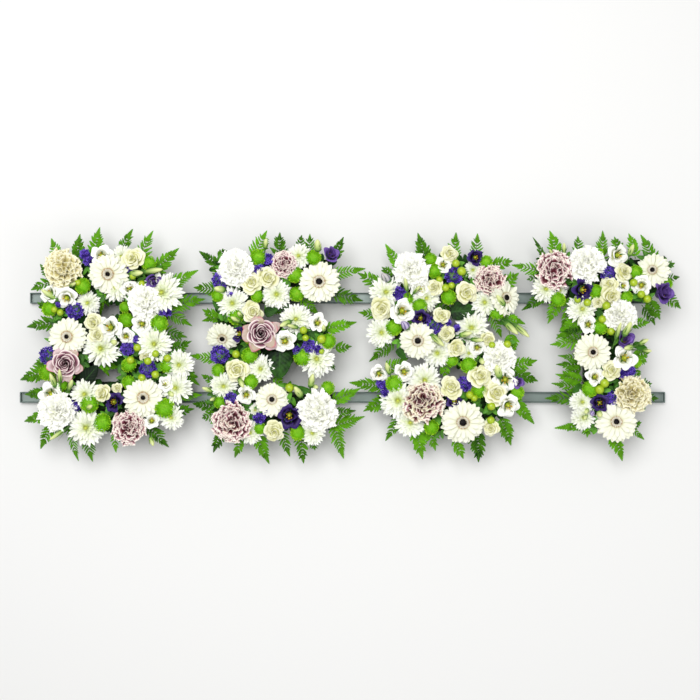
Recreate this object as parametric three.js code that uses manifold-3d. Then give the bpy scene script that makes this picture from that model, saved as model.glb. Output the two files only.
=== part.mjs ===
// Funeral flower tribute, laid flat: four floral foam letters, packed with blooms and
// ringed with fern, on two grey rails. Millimetres, +X along the word, +Y up the letters,
// +Z up, with the origin at the middle of the lower rail's underside.
import * as THREE from "three";
import { mergeVertices } from "three/addons/utils/BufferGeometryUtils.js";
import Module from "manifold-3d";

const wasm = await Module();
wasm.setup();
const { Manifold, Mesh } = wasm;

// Rails: shallow grey channels, open upwards, with a lip all round.
const RAIL = { width: 19, height: 10, wall: 1.6 };
const LOWER_RAIL = { from: -570, to: 570, y: 0 };
const UPPER_RAIL = { from: -552, to: 540, y: 175.5 };

// Levels of the layers, from the ground up, and the gap kept between touching pieces.
const CLEAR = 0.3;
const BACKING = { bottom: RAIL.height + CLEAR, top: 22 };
const FOAM = { bottom: BACKING.top + CLEAR, top: 60 };
const BED = { bottom: FOAM.top + CLEAR, top: 63 };
const LETTER_HEIGHT = 290;
const HALF = LETTER_HEIGHT / 2;
const STROKE = 57;
const LETTER_Y = 93.9;

// Stems: slim three-sided rods, the deep ones standing in holes in the bed and the foam.
const STEM = { radius: 2.6, deep: 38, rooted: BED.bottom + 1.1, branch: BED.top + 2.3, slim: 1.8, tip: 1.1 };
const HOLE = { radius: STEM.radius + 2 * CLEAR, bottom: STEM.deep - CLEAR, top: BED.top + 10 };

// Berries and buds: four-sided spindles from the leaf bed up to one height, widest at a
// share of their length.
const SPINDLE = { berry: 6, bud: 5, top: 76, belly: 0.6 };

// Fern fronds: thin arched blades, cut into leaflets, rooted in the leaf bed.
const FROND = { root: 18, rib: 0.9, level: 61.6, droop: 0.5, aspect: 0.23, spread: 3.5, stalk: 1.4 };
const BROAD_LEAF = { root: 8, level: 62.4, rise: 3.5 };
const LEAF_OVERHANG = { tip: 13, notch: 4, spacing: 56 };

// Each bloom is a stack of rings, from the crown down to the foot: how many petal tips, how
// far they reach and how high they stand for a bloom of radius 1, and how deep the notches
// between the petals go (1 is no notch).
const BLOOMS = {
  chrysanthemum: {
    foot: 69, crown: 0.44,
    rings: [[4, 0.55, 0.5, 0.6], [4, 0.3, 0.34, 1], [7, 1, 0.26, 0.66]],
  },
  gerbera: {
    foot: 70, crown: 0.34,
    rings: [[5, 0.26, 0.3, 1], [11, 1, 0.24, 0.7]],
  },
  carnation: {
    foot: 69, crown: 0.74,
    rings: [[5, 0.68, 0.68, 0.74], [5, 0.46, 0.5, 1], [7, 1, 0.4, 0.8]],
  },
  rose: {
    foot: 69, crown: 0.62,
    rings: [[4, 0.3, 0.78, 1], [4, 0.22, 0.6, 1], [5, 0.66, 0.72, 0.86], [5, 0.42, 0.5, 1],
      [5, 1, 0.5, 0.84]],
  },
  spray_rose: {
    foot: 67, crown: 0.95,
    rings: [[4, 0.5, 1.1, 1], [5, 1, 0.8, 0.84]],
  },
  lisianthus: {
    foot: 67, crown: 0.42,
    rings: [[5, 1, 0.95, 0.8]],
  },
  santini: {
    foot: 67, crown: 0.8,
    rings: [[4, 1, 0.42, 0.72]],
  },
  statice: {
    foot: 67, crown: 0.75,
    rings: [[4, 1, 0.6, 0.55]],
  },
};
const COLOURS = {
  rail: "#8a9894", backing: "#23301f", foam: "#1f2b1b", greenery: "#3f7a2c",
  white: "#f4f5e6", mauve: "#b39a9d", cream: "#e6e0ac", violet: "#3d2b70",
};

// Turns a closed geometry into a solid that can be joined and cut.
function solidOf(geometry) {
  geometry.deleteAttribute("normal");
  geometry.deleteAttribute("uv");
  const merged = mergeVertices(geometry, 1e-4);
  return new Manifold(new Mesh({
    numProp: 3,
    vertProperties: new Float32Array(merged.attributes.position.array),
    triVerts: new Uint32Array(merged.index.array),
  }));
}

function solidFrom(points, faces) {
  const geometry = new THREE.BufferGeometry();
  geometry.setAttribute("position", new THREE.Float32BufferAttribute(points.flat(), 3));
  geometry.setIndex(faces.flat());
  return solidOf(geometry);
}

function geometryOf(solid) {
  const mesh = solid.getMesh();
  const geometry = new THREE.BufferGeometry();
  geometry.setAttribute("position", new THREE.BufferAttribute(mesh.vertProperties, 3));
  geometry.setIndex(new THREE.BufferAttribute(mesh.triVerts, 1));
  return geometry;
}

// Joins solids into one body, and drops loose scraps.
function joined(solids) {
  const bodies = Manifold.union(solids).decompose();
  bodies.sort((a, b) => b.volume() - a.volume());
  return bodies[0];
}

// A flat slab between two levels, with an outline of [x, y] points and any holes.
function slab(outline, holes, bottom, top) {
  const shape = new THREE.Shape(outline.map(([x, y]) => new THREE.Vector2(x, y)));
  shape.holes = holes.map((hole) => new THREE.Path(hole.map(([x, y]) => new THREE.Vector2(x, y))));
  const geometry = new THREE.ExtrudeGeometry(shape, { depth: top - bottom, bevelEnabled: false });
  geometry.translate(0, 0, bottom);
  return solidOf(geometry);
}

function arc(cx, cy, rx, ry, from, to, steps) {
  return Array.from({ length: steps + 1 }, (_, i) => {
    const angle = THREE.MathUtils.degToRad(from + ((to - from) * i) / steps);
    return [cx + rx * Math.cos(angle), cy + ry * Math.sin(angle)];
  });
}

// Points along both sides of a smooth thick line, for the letter S.
function thickLine(route, width, steps) {
  const curve = new THREE.SplineCurve(route.map(([x, y]) => new THREE.Vector2(x, y)));
  const left = [];
  const right = [];
  for (let i = 0; i <= steps; i++) {
    const p = curve.getPoint(i / steps);
    const t = curve.getTangent(i / steps);
    left.push([p.x - (t.y * width) / 2, p.y + (t.x * width) / 2]);
    right.unshift([p.x + (t.y * width) / 2, p.y - (t.x * width) / 2]);
  }
  return left.concat(right);
}

const OUTLINES = {
  b: {
    outline: [[-104, -HALF], ...arc(14, -73, 84, 72, -90, 52, 6), ...arc(10, 72, 80, 73, -45, 90, 6),
      [-104, HALF]],
    holes: [[[-44, 44], [2, 44], [18, 58], [6, 76], [-44, 76]],
      [[-48, -66], [6, -66], [20, -48], [4, -32], [-48, -32]]],
  },
  e: {
    outline: [[-108, -HALF], [92, -HALF], [92, -HALF + STROKE], [-50, -HALF + STROKE], [-50, -28],
      [84, -28], [84, 28], [-50, 28], [-50, HALF - STROKE], [92, HALF - STROKE], [92, HALF],
      [-108, HALF]],
    holes: [],
  },
  s: {
    outline: thickLine([[92, 64], [64, 108], [0, 120], [-64, 106], [-84, 60], [-56, 20], [0, 2],
      [58, -22], [88, -66], [66, -108], [0, -124], [-62, -114], [-94, -74]], STROKE, 15),
    holes: [],
  },
  t: {
    outline: [[-30, -HALF], [30, -HALF], [30, HALF - STROKE], [100, HALF - STROKE], [100, HALF],
      [-112, HALF], [-112, HALF - STROKE], [-30, HALF - STROKE]],
    holes: [],
  },
};

// What each letter holds, as [kind, x, y, radius], in the letter's own millimetres from its
// centre. Blooms of one colour that touch are one node; the rest root in the leaf bed.
const LETTERS = [
  {
    name: "b", x: -391.3,
    clusters: {
      white_top: ["white", [["gerbera", -7, 120, 35], ["chrysanthemum", 5, 96, 27],
        ["chrysanthemum", 15, 150, 20], ["lisianthus", -22, 150, 20], ["chrysanthemum", 85, 87, 36],
        ["carnation", 55, 72, 32], ["lisianthus", 28, 93, 16]]],
      white_left: ["white", [["chrysanthemum", -43, 70, 21], ["lisianthus", -78, 80, 20],
        ["lisianthus", -105, 85, 18]]],
      white_waist: ["white", [["gerbera", -76, 12, 34], ["chrysanthemum", -19, -7, 35],
        ["lisianthus", -3, 28, 22], ["lisianthus", 22, 14, 15]]],
      white_right: ["white", [["chrysanthemum", 70, 0, 32], ["lisianthus", 50, 35, 18],
        ["chrysanthemum", 112, -35, 28], ["chrysanthemum", 108, -75, 28], ["lisianthus", 88, -66, 15]]],
      white_foot: ["white", [["gerbera", 52, -91, 36], ["lisianthus", 66, -130, 17],
        ["chrysanthemum", 100, -125, 23]]],
      white_corner: ["white", [["chrysanthemum", -48, -86, 29], ["chrysanthemum", -45, -142, 33],
        ["carnation", -95, -115, 34], ["lisianthus", -105, -83, 20]]],
      carnation_top: ["mauve", [["carnation", -85, 128, 34]]],
      carnation_foot: ["mauve", [["carnation", 28, -142, 31]]],
      rose: ["mauve", [["rose", -82, -35, 32]]],
      cream_upper: ["cream", [["spray_rose", -32, 40, 17], ["spray_rose", -25, 14, 15]]],
      cream_lower: ["cream", [["spray_rose", -15, -83, 16], ["spray_rose", 8, -73, 11]]],
      violet: ["violet", [["lisianthus", 3, -100, 18]]],
    },
    rooted: [["statice", -44, 148, 14], ["spray_rose", 37, 145, 18], ["santini", 62, 138, 14],
      ["statice", 28, 130, 9], ["lisianthus", 66, 112, 13], ["santini", -50, 98, 16],
      ["santini", -108, 60, 14], ["statice", -65, 55, 15], ["santini", 22, 42, 14],
      ["santini", 20, 63, 10], ["santini", 78, 35, 16], ["statice", 93, 55, 9],
      ["statice", 25, -8, 13], ["spray_rose", 52, -18, 10], ["statice", 60, -43, 17],
      ["santini", 28, -37, 14], ["santini", 92, -36, 12], ["santini", 28, -65, 13],
      ["santini", 88, -108, 15], ["santini", -18, -135, 16], ["santini", -40, -105, 13],
      ["statice", -68, -107, 11], ["statice", -110, -20, 16], ["santini", -113, -50, 14],
      ["santini", -88, -68, 13]],
    berries: [[34, 115], [50, 103], [-92, 56], [43, -6], [75, -19], [50, -57]],
    buds: [[60, 127, 85, 129], [-82, 100, -108, 100], [-80, -55, -104, -55],
      [-74, -140, -98, -155], [58, -132, 70, -172]],
    leaves: [[-20, 88, 6, 78, 18], [-14, -40, -10, -60, 16]],
    fronds: [[-95, 150, -113, 183], [-62, 150, -64, 190], [-32, 160, -30, 202], [13, 160, 27, 199],
      [47, 155, 62, 196], [80, 135, 107, 166], [102, 105, 140, 128], [112, 70, 152, 78],
      [102, 50, 130, 32], [92, 20, 122, 12], [88, -14, 130, 5], [98, -40, 142, -70],
      [118, -88, 148, -88], [108, -115, 135, -112], [68, -150, 90, -178], [2, -160, 0, -187],
      [-45, -165, -42, -203], [-72, -160, -67, -202], [-110, -148, -132, -181],
      [-122, -122, -160, -134], [-126, -85, -158, -87], [-122, -48, -168, -62],
      [-115, -30, -142, -35], [-112, 35, -156, 30], [-115, 62, -135, 72], [-113, 100, -148, 92],
      [-112, 120, -131, 138]],
  },
  {
    name: "e", x: -109.1,
    clusters: {
      white_corner: ["white", [["carnation", -72, 130, 33], ["chrysanthemum", -78, 70, 30]]],
      white_right: ["white", [["chrysanthemum", 35, 150, 23], ["gerbera", 70, 105, 37]]],
      white_middle: ["white", [["chrysanthemum", -3, 85, 29], ["chrysanthemum", 30, 42, 28],
        ["lisianthus", 66, 35, 17], ["lisianthus", 12, 5, 19]]],
      gerbera: ["white", [["gerbera", -95, 2, 33]]],
      chrysanthemum: ["white", [["chrysanthemum", 65, -25, 32]]],
      white_lower: ["white", [["chrysanthemum", -30, -44, 25], ["lisianthus", -55, -86, 19],
        ["gerbera", -15, -96, 33], ["chrysanthemum", -94, -71, 26], ["chrysanthemum", -44, -118, 14],
        ["chrysanthemum", -48, -150, 24]]],
      white_foot: ["white", [["carnation", 68, -113, 37], ["chrysanthemum", 58, -152, 22]]],
      carnation_top: ["mauve", [["carnation", 10, 136, 24]]],
      carnation_foot: ["mauve", [["carnation", -78, -132, 36]]],
      rose: ["mauve", [["rose", -28, 15, 34]]],
      cream: ["cream", [["spray_rose", -18, 112, 17], ["spray_rose", -46, 105, 16]]],
      violet: ["violet", [["lisianthus", 19, -121, 20]]],
    },
    rooted: [["santini", -34, 148, 15], ["statice", -17, 145, 10], ["statice", -32, 128, 10],
      ["santini", 29, 118, 15], ["santini", 31, 84, 14], ["santini", 60, 147, 14],
      ["lisianthus", 87, 148, 14], ["santini", -35, 82, 12], ["statice", -100, 109, 15],
      ["santini", -106, 82, 11], ["spray_rose", -45, 54, 17], ["santini", -73, 42, 14],
      ["lisianthus", -62, 20, 12], ["santini", 86, 5, 14], ["statice", 52, -2, 13],
      ["statice", 33, -12, 10], ["statice", -100, -24, 15], ["santini", -49, -20, 15],
      ["spray_rose", -69, -43, 20], ["santini", -104, -45, 12], ["santini", 40, -23, 15],
      ["santini", -103, -100, 11], ["statice", -81, -94, 12], ["santini", -50, -65, 13],
      ["statice", -32, -130, 10], ["santini", 84, -75, 13], ["santini", -30, -146, 12],
      ["spray_rose", -4, -147, 17], ["santini", 30, -152, 14]],
    berries: [[-60, 2], [43, 21], [48, 10], [74, 8], [20, -82]],
    buds: [[62, 148, 68, 170], [-20, 146, -22, 172], [-98, -90, -128, -76],
      [42, -88, 54, -60]],
    leaves: [[5, -14, 0, -57, 42], [52, 26, 66, 14, 16]],
    fronds: [[-112, 141, -139, 161], [-97, 150, -94, 166], [-36, 162, -22, 196], [1, 162, 1, 193],
      [36, 169, 39, 188], [53, 162, 53, 190], [98, 156, 111, 185], [105, 122, 148, 131],
      [107, 84, 144, 75], [90, 29, 133, 38], [98, -6, 125, -4], [88, -31, 97, -45],
      [100, -92, 140, -77], [105, -117, 132, -115], [103, -137, 147, -126], [100, -156, 111, -198],
      [39, -168, 42, -206], [58, -165, 62, -183], [9, -162, 18, -194], [-31, -165, -18, -207],
      [-64, -160, -77, -196], [-100, -158, -114, -187], [-116, -107, -150, -103],
      [-116, -122, -133, -128], [-112, -64, -134, -53], [-116, -24, -154, -20], [-111, 48, -133, 60],
      [-111, 41, -133, 37], [-113, 94, -148, 98], [-111, 118, -124, 117], [45, 75, 69, 49]],
  },
  {
    name: "s", x: 178.2,
    clusters: {
      white_upper: ["white", [["carnation", -60, 126, 32], ["lisianthus", -44, 94, 18],
        ["chrysanthemum", -36, 78, 26], ["lisianthus", -77, 56, 25], ["chrysanthemum", -104, 88, 28],
        ["chrysanthemum", -112, 20, 27]]],
      white_right: ["white", [["gerbera", 100, 78, 30], ["chrysanthemum", 65, 71, 25]]],
      white_middle: ["white", [["gerbera", -47, 7, 35], ["chrysanthemum", -15, -17, 26]]],
      white_end: ["white", [["chrysanthemum", 43, 28, 30], ["lisianthus", 54, -5, 15],
        ["chrysanthemum", 38, -18, 16], ["carnation", 90, -24, 29], ["lisianthus", 100, -62, 22],
        ["lisianthus", 103, -102, 23]]],
      gerbera: ["white", [["gerbera", 27, -133, 40]]],
      white_lower: ["white", [["chrysanthemum", -82, -96, 33], ["chrysanthemum", -38, -62, 30],
        ["chrysanthemum", -62, -135, 26], ["lisianthus", -73, -47, 20]]],
      carnation_top: ["mauve", [["carnation", 74, 111, 28]]],
      carnation_foot: ["mauve", [["carnation", -38, -99, 38]]],
      cream: ["cream", [["spray_rose", 56, -56, 20], ["spray_rose", 80, -84, 21]]],
      violet_top: ["violet", [["lisianthus", 47, 148, 15]]],
      violet_foot: ["violet", [["lisianthus", 11, -98, 16]]],
    },
    rooted: [["santini", -26, 146, 12], ["santini", -20, 123, 12], ["spray_rose", 3, 153, 14],
      ["lisianthus", -6, 135, 13], ["statice", 14, 116, 14], ["santini", 68, 143, 12],
      ["chrysanthemum", 45, 124, 16], ["spray_rose", 32, 86, 18], ["spray_rose", -14, 97, 13],
      ["santini", 86, 50, 12], ["santini", 4, 80, 13], ["santini", -66, 79, 10],
      ["santini", -46, 60, 12], ["statice", -84, 86, 12], ["spray_rose", -110, 60, 16],
      ["lisianthus", -43, 45, 14], ["santini", -91, 28, 14], ["spray_rose", -10, 47, 14],
      ["statice", -24, 31, 14], ["spray_rose", 1, 18, 13], ["spray_rose", 15, -6, 14],
      ["spray_rose", 72, 9, 12], ["santini", 9, -34, 11], ["santini", 40, -37, 12],
      ["lisianthus", 84, -47, 12], ["statice", 32, -68, 14], ["santini", 56, -80, 13],
      ["spray_rose", 7, -75, 16], ["lisianthus", 117, -64, 10], ["santini", 120, -82, 12],
      ["spray_rose", 77, -143, 14], ["santini", -89, -68, 15], ["lisianthus", -114, -47, 14],
      ["statice", -110, -74, 12], ["santini", -26, -142, 14]],
    berries: [[15, 137], [24, 129], [-13, 111], [76, -8], [47, -98], [74, -112]],
    buds: [[-90, 96, -102, 118], [-34, 22, -12, 8], [86, 56, 112, 50],
      [92, 52, 122, 34]],
    leaves: [[40, 90, 14, 46, 26]],
    fronds: [[-83, 135, -103, 173], [-38, 152, -47, 192], [13, 156, 19, 193], [51, 158, 56, 191],
      [90, 137, 116, 144], [105, 107, 127, 123], [110, 68, 122, 60], [83, 41, 97, 12],
      [107, 50, 138, 40], [100, -14, 120, 10], [118, -36, 159, -28], [126, -54, 160, -64],
      [119, -102, 155, -138], [100, -136, 114, -175], [44, -150, 58, -204], [19, -168, 31, -198],
      [-26, -157, -17, -184], [-50, -156, -39, -199], [-87, -138, -103, -167], [-115, -101, -141, -116],
      [-117, -71, -165, -67], [-102, -5, -131, -30], [-74, -54, -60, -22], [-118, 50, -150, 55],
      [-119, 105, -151, 123], [-98, 122, -112, 134]],
  },
  {
    name: "t", x: 453.6,
    clusters: {
      carnation_left: ["white", [["carnation", -36, 135, 33]]],
      white_left: ["white", [["chrysanthemum", -106, 94, 25], ["chrysanthemum", -78, 88, 14]]],
      white_right: ["white", [["gerbera", 75, 124, 33], ["lisianthus", 58, 99, 18]]],
      white_stem: ["white", [["chrysanthemum", -44, 62, 26], ["lisianthus", -34, 33, 16],
        ["gerbera", -27, -13, 33], ["lisianthus", 26, -26, 22], ["lisianthus", -23, -55, 17]]],
      carnation_stem: ["white", [["carnation", 20, 48, 30]]],
      white_foot: ["white", [["chrysanthemum", -44, -98, 22], ["chrysanthemum", -44, -128, 24],
        ["gerbera", 12, -132, 36]]],
      carnation_top: ["mauve", [["carnation", -91, 126, 34]]],
      carnation_foot: ["mauve", [["carnation", 41, -86, 33]]],
      cream: ["cream", [["spray_rose", 26, 120, 16], ["spray_rose", 27, 97, 15],
        ["spray_rose", 4, 102, 15], ["spray_rose", 4, 80, 17]]],
      violet_left: ["violet", [["lisianthus", -47, 94, 18]]],
      violet_right: ["violet", [["lisianthus", 87, 84, 18]]],
    },
    rooted: [["santini", -88, 72, 12], ["santini", -20, 92, 13], ["spray_rose", -15, 69, 9],
      ["lisianthus", 16, 152, 18], ["santini", -14, 157, 8], ["statice", 2, 122, 13],
      ["santini", 50, 126, 11], ["santini", 103, 102, 11], ["santini", 32, 80, 11],
      ["santini", -10, 28, 14], ["lisianthus", 26, 5, 13], ["santini", 49, -33, 9],
      ["statice", 34, -48, 12], ["spray_rose", 5, -45, 15], ["santini", -31, -77, 14],
      ["statice", 6, -92, 13], ["lisianthus", -14, -98, 15]],
    berries: [[62, 88], [43, 106], [-2, 62], [-7, -66], [-13, -80]],
    buds: [[34, 142, 39, 166], [6, 4, 17, 32], [22, 10, 36, 34], [28, -2, 58, -6]],
    leaves: [[-2, 140, 16, 134, 14], [48, -12, 68, -4, 14]],
    fronds: [[-108, 150, -123, 185], [-87, 160, -94, 196], [-50, 165, -47, 186], [-9, 158, -2, 196],
      [-30, 155, -30, 170], [19, 160, 16, 185], [47, 160, 42, 191], [77, 148, 65, 189],
      [104, 137, 121, 142], [103, 112, 129, 116], [100, 84, 132, 62], [72, 84, 96, 43],
      [46, 58, 87, 33], [38, 30, 78, 38], [-89, 84, -98, 40], [-108, 84, -142, 59],
      [-123, 128, -159, 137], [-118, 113, -138, 108], [-62, 75, -74, 22], [-46, 44, -81, 10],
      [-52, 3, -93, -1], [-52, -32, -83, -34], [-50, -45, -76, -58], [-50, -75, -90, -68],
      [-52, -92, -101, -94], [-46, -138, -83, -146], [-33, -146, -31, -168], [15, -160, 32, -202],
      [34, -146, 69, -168], [44, -138, 66, -130], [52, -71, 81, -68], [38, -90, 93, -94],
      [38, -100, 69, -114], [44, -44, 62, -58], [48, -26, 74, -33], [46, -14, 80, -10]],
  },
];

// How far a bloom may reach at an angle before it would cross a neighbour. The line between
// two blooms lies at the share of their distance that each one's radius has.
function roomAt(angle, place) {
  const [ux, uy] = [Math.cos(angle), Math.sin(angle)];
  return Math.min(...place.neighbours.map((other) => {
    const [dx, dy] = [other.x - place.x, other.y - place.y];
    const distance = Math.hypot(dx, dy);
    const line = (distance * place.radius) / (place.radius + other.radius) - CLEAR / 2;
    const towards = (ux * dx + uy * dy) / distance;
    return towards > 0.01 ? line / towards : Infinity;
  }));
}

// The points of one ring: tips and the notches between them, turned by a share of a petal.
function ringPoints([tips, reach, rise, notch], place, turn) {
  const stars = notch < 1;
  const count = stars ? tips * 2 : tips;
  return Array.from({ length: count }, (_, i) => {
    const angle = ((i / count) * 2 + turn / tips) * Math.PI;
    const full = place.radius * reach * (stars && i % 2 ? notch : 1);
    const r = Math.min(full, roomAt(angle, place) * (0.7 + 0.3 * reach));
    const z = place.foot + place.radius * (rise - (stars && i % 2 ? 0.05 : 0));
    return [place.x + r * Math.cos(angle), place.y + r * Math.sin(angle), z];
  });
}

// Faces between two rings of any counts, walking both round together by their angles.
function stitch(upper, lower, first, second, centre) {
  const angleOf = (p) => Math.atan2(p[1] - centre[1], p[0] - centre[0]);
  const start = angleOf(upper[0]);
  const steps = (ring) => ring.map((p) => (angleOf(p) - start + 4 * Math.PI) % (2 * Math.PI));
  const lowerSteps = steps(lower);
  const entry = lowerSteps.indexOf(Math.min(...lowerSteps));
  const upperAngles = [...steps(upper).map((a, i) => (i ? a : 0)), 2 * Math.PI];
  const lowerAngles = lower.map((_, j) => lowerSteps[(entry + j) % lower.length]);
  lowerAngles.push(lowerAngles[0] + 2 * Math.PI);
  const faces = [];
  let i = 0;
  let j = 0;
  while (i < upper.length || j < lower.length) {
    const a = first + (i % upper.length);
    const b = second + ((entry + j) % lower.length);
    if (j >= lower.length || (i < upper.length && upperAngles[i + 1] <= lowerAngles[j + 1])) {
      faces.push([a, b, first + ((i + 1) % upper.length)]);
      i += 1;
    } else {
      faces.push([a, b, second + ((entry + j + 1) % lower.length)]);
      j += 1;
    }
  }
  return faces;
}

// A level ring of three points round a stem, the first one on the side away from "facing".
function stemRing(x, y, z, radius, facing = 0) {
  return [Math.PI, -Math.PI / 3, Math.PI / 3].map((share) => {
    const angle = facing + share;
    return [x + radius * Math.cos(angle), y + radius * Math.sin(angle), z];
  });
}

// The stem under a bloom: straight down to its end, or, on a branched spray, bent over to
// the stem of the bloom that it branches from.
function stemRings(place) {
  const { x, y, foot, parent } = place;
  if (!parent) {
    return [stemRing(x, y, foot, STEM.radius), stemRing(...place.root, place.stemEnd, STEM.radius)];
  }
  const facing = Math.atan2(parent.y - y, parent.x - x);
  const mitre = stemRing(x, y, STEM.branch, STEM.radius, facing);
  mitre[0][2] -= STEM.slim;
  mitre[1][2] += STEM.slim / 2;
  mitre[2][2] += STEM.slim / 2;
  const [ax, ay] = [-Math.sin(facing) * STEM.tip, Math.cos(facing) * STEM.tip];
  const end = [
    [parent.x, parent.y, STEM.branch - STEM.tip],
    [parent.x - ax, parent.y - ay, STEM.branch + STEM.tip / 2],
    [parent.x + ax, parent.y + ay, STEM.branch + STEM.tip / 2],
  ];
  return [stemRing(x, y, foot, STEM.radius, facing), mitre, end];
}

// One bloom: its rings of petals from the crown down, then its slim stem.
function bloom(place, order) {
  const { crown, rings } = BLOOMS[place.kind];
  const petals = rings.map((ring, i) => ringPoints(ring, place, (order * 0.37 + (i % 4) * 0.5) % 2));
  const stem = stemRings(place);
  const points = [[place.x, place.y, place.foot + place.radius * crown]];
  const faces = [];
  [...petals, ...stem].forEach((ring, level) => {
    const first = points.length;
    points.push(...ring);
    if (level === 0) {
      ring.forEach((_, i) => faces.push([0, first + i, first + ((i + 1) % ring.length)]));
    } else if (level > petals.length) {
      [[0, 1], [1, 2], [2, 0]].forEach(([i, j]) => {
        faces.push([first - 3 + i, first + i, first - 3 + j], [first - 3 + j, first + i, first + j]);
      });
    } else {
      const above = petals[level - 1];
      faces.push(...stitch(above, ring, first - above.length, first, [place.x, place.y]));
    }
  });
  const last = points.length - 3;
  faces.push([last, last + 2, last + 1]);
  return solidFrom(points, faces);
}

// A spindle between two points, for berries and buds.
function spindle(from, to, radius) {
  const start = new THREE.Vector3(...from);
  const end = new THREE.Vector3(...to);
  const along = end.clone().sub(start).normalize();
  const across = new THREE.Vector3(-along.y, along.x, 0);
  if (across.length() < 0.1) {
    across.set(1, 0, 0);
  }
  across.normalize();
  const over = along.clone().cross(across);
  const middle = start.clone().lerp(end, SPINDLE.belly);
  const ring = [[1, 0], [0, 1], [-1, 0], [0, -1]].map(([a, o]) => middle.clone()
    .addScaledVector(across, a * radius).addScaledVector(over, o * radius).toArray());
  const faces = [0, 1, 2, 3].flatMap((i) => [[0, 1 + ((i + 1) % 4), 1 + i], [5, 1 + i, 1 + ((i + 1) % 4)]]);
  return solidFrom([from, ...ring, to], faces);
}

// A blade with a raised rib: an outline of [along, half-width] points from root to tip, the
// same on both sides, and hubs on the rib that the faces fan from. It bends by the level
// that level(along) gives.
function blade([x0, y0, x1, y1], root, outline, hubs, level) {
  const length = Math.hypot(x1 - x0, y1 - y0);
  const [ux, uy] = [(x1 - x0) / length, (y1 - y0) / length];
  const at = (along, side, lift) => {
    const u = -root + along * (length + root);
    return [x0 + u * ux - side * uy, y0 + u * uy + side * ux, level(Math.max(0, u / length)) + lift];
  };
  const left = outline.map(([along, half]) => at(along, half, 0));
  const right = outline.map(([along, half]) => at(along, -half, 0));
  const tip = at(1, 0, 0);
  const tops = hubs.map((along) => at(along, 0, FROND.rib));
  const bottoms = hubs.map((along) => at(along, 0, -FROND.rib));
  const points = [...left, tip, ...[...right].reverse(), ...tops, ...bottoms];
  const n = outline.length;
  const rim = 2 * n + 1;
  const nearest = (along) => {
    const gaps = hubs.map((hub) => Math.abs(hub - along));
    return gaps.indexOf(Math.min(...gaps));
  };
  const alongs = [...outline.map((p) => p[0]), 1];
  const faces = [];
  for (let i = 0; i < n; i++) {
    const hub = nearest((alongs[i] + alongs[i + 1]) / 2);
    const mirror = [rim - 1 - i, rim - 2 - i];
    faces.push([rim + hub, i + 1, i], [rim + hub, mirror[0], mirror[1]]);
    faces.push([rim + hubs.length + hub, i, i + 1], [rim + hubs.length + hub, mirror[1], mirror[0]]);
    const next = i + 1 < n ? nearest((alongs[i + 1] + alongs[i + 2]) / 2) : hub;
    if (next !== hub) {
      faces.push([rim + hub, rim + next, i + 1], [rim + next, rim + hub, mirror[1]]);
      const under = rim + hubs.length;
      faces.push([under + next, under + hub, i + 1], [under + hub, under + next, mirror[1]]);
    }
  }
  faces.push([rim, 0, rim - 1], [rim + hubs.length, rim - 1, 0]);
  return solidFrom(points, faces);
}

// A fern frond: leaflets that shorten towards the tip, with cuts between them.
function frond(line) {
  const length = Math.hypot(line[2] - line[0], line[3] - line[1]);
  const whole = length + FROND.root;
  const pairs = THREE.MathUtils.clamp(Math.floor(length / 20) + 1, 2, 4);
  const width = FROND.aspect * length + FROND.spread;
  const outline = [[0, FROND.stalk]];
  for (let i = 0; i < pairs; i++) {
    const near = (FROND.root + length * (0.02 + (0.84 * i) / pairs)) / whole;
    const far = (FROND.root + length * (0.26 + (0.76 * i) / pairs)) / whole;
    const half = width * (1 - 0.68 * (i / pairs));
    outline.push([near, Math.max(FROND.stalk, half * 0.3)], [far, half]);
  }
  const hubs = (pairs > 2 ? [0.3, 0.66] : [0.4]).map((share) => (FROND.root + length * share) / whole);
  const drop = FROND.droop * length;
  return blade(line, FROND.root, outline, hubs, (share) => FROND.level - drop * share * share);
}

// A broad leaf with waved edges, lying over the bed among the blooms.
function broadLeaf([x0, y0, x1, y1, width]) {
  const half = width / 2;
  const outline = [[0, 1], [0.2, half * 0.72], [0.34, half * 0.86], [0.5, half], [0.72, half * 0.74],
    [0.88, half * 0.34]];
  const rise = (share) => BROAD_LEAF.level + BROAD_LEAF.rise * Math.min(1, share * 2);
  return blade([x0, y0, x1, y1], BROAD_LEAF.root, outline, [0.36, 0.7], rise);
}

// The letter's outline, with its edge pushed out by turns, as overlapping leaves make it.
function leafyEdge(outline) {
  const shape = new THREE.Shape(outline.map(([x, y]) => new THREE.Vector2(x, y)));
  shape.closePath();
  const count = 2 * Math.round(shape.getLength() / LEAF_OVERHANG.spacing);
  const points = shape.getSpacedPoints(count).slice(0, count);
  const outward = THREE.ShapeUtils.isClockWise(points) ? -1 : 1;
  return points.map((p, i) => {
    const before = points[(i + count - 1) % count];
    const after = points[(i + 1) % count];
    const along = after.clone().sub(before).normalize();
    const out = outward * (i % 2 ? LEAF_OVERHANG.tip : LEAF_OVERHANG.notch);
    return [p.x + along.y * out, p.y - along.x * out];
  });
}

// Where a bloom's stem roots: under it, or, for one that leans out over the edge, at the
// nearest point of the letter, a little way in.
function rootOf(outline, x, y) {
  const loop = outline.map((p, i) => [p, outline[(i + 1) % outline.length]]);
  const crossings = loop.filter(([[ax, ay], [bx, by]]) => (ay > y) !== (by > y)
    && x < ax + ((y - ay) * (bx - ax)) / (by - ay));
  if (crossings.length % 2) return [x, y];
  const nearest = loop.map(([[ax, ay], [bx, by]]) => {
    const span = (bx - ax) ** 2 + (by - ay) ** 2;
    const share = THREE.MathUtils.clamp(((x - ax) * (bx - ax) + (y - ay) * (by - ay)) / span, 0, 1);
    return [ax + share * (bx - ax), ay + share * (by - ay)];
  }).sort((a, b) => Math.hypot(a[0] - x, a[1] - y) - Math.hypot(b[0] - x, b[1] - y))[0];
  return [nearest[0], nearest[1]];
}

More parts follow.
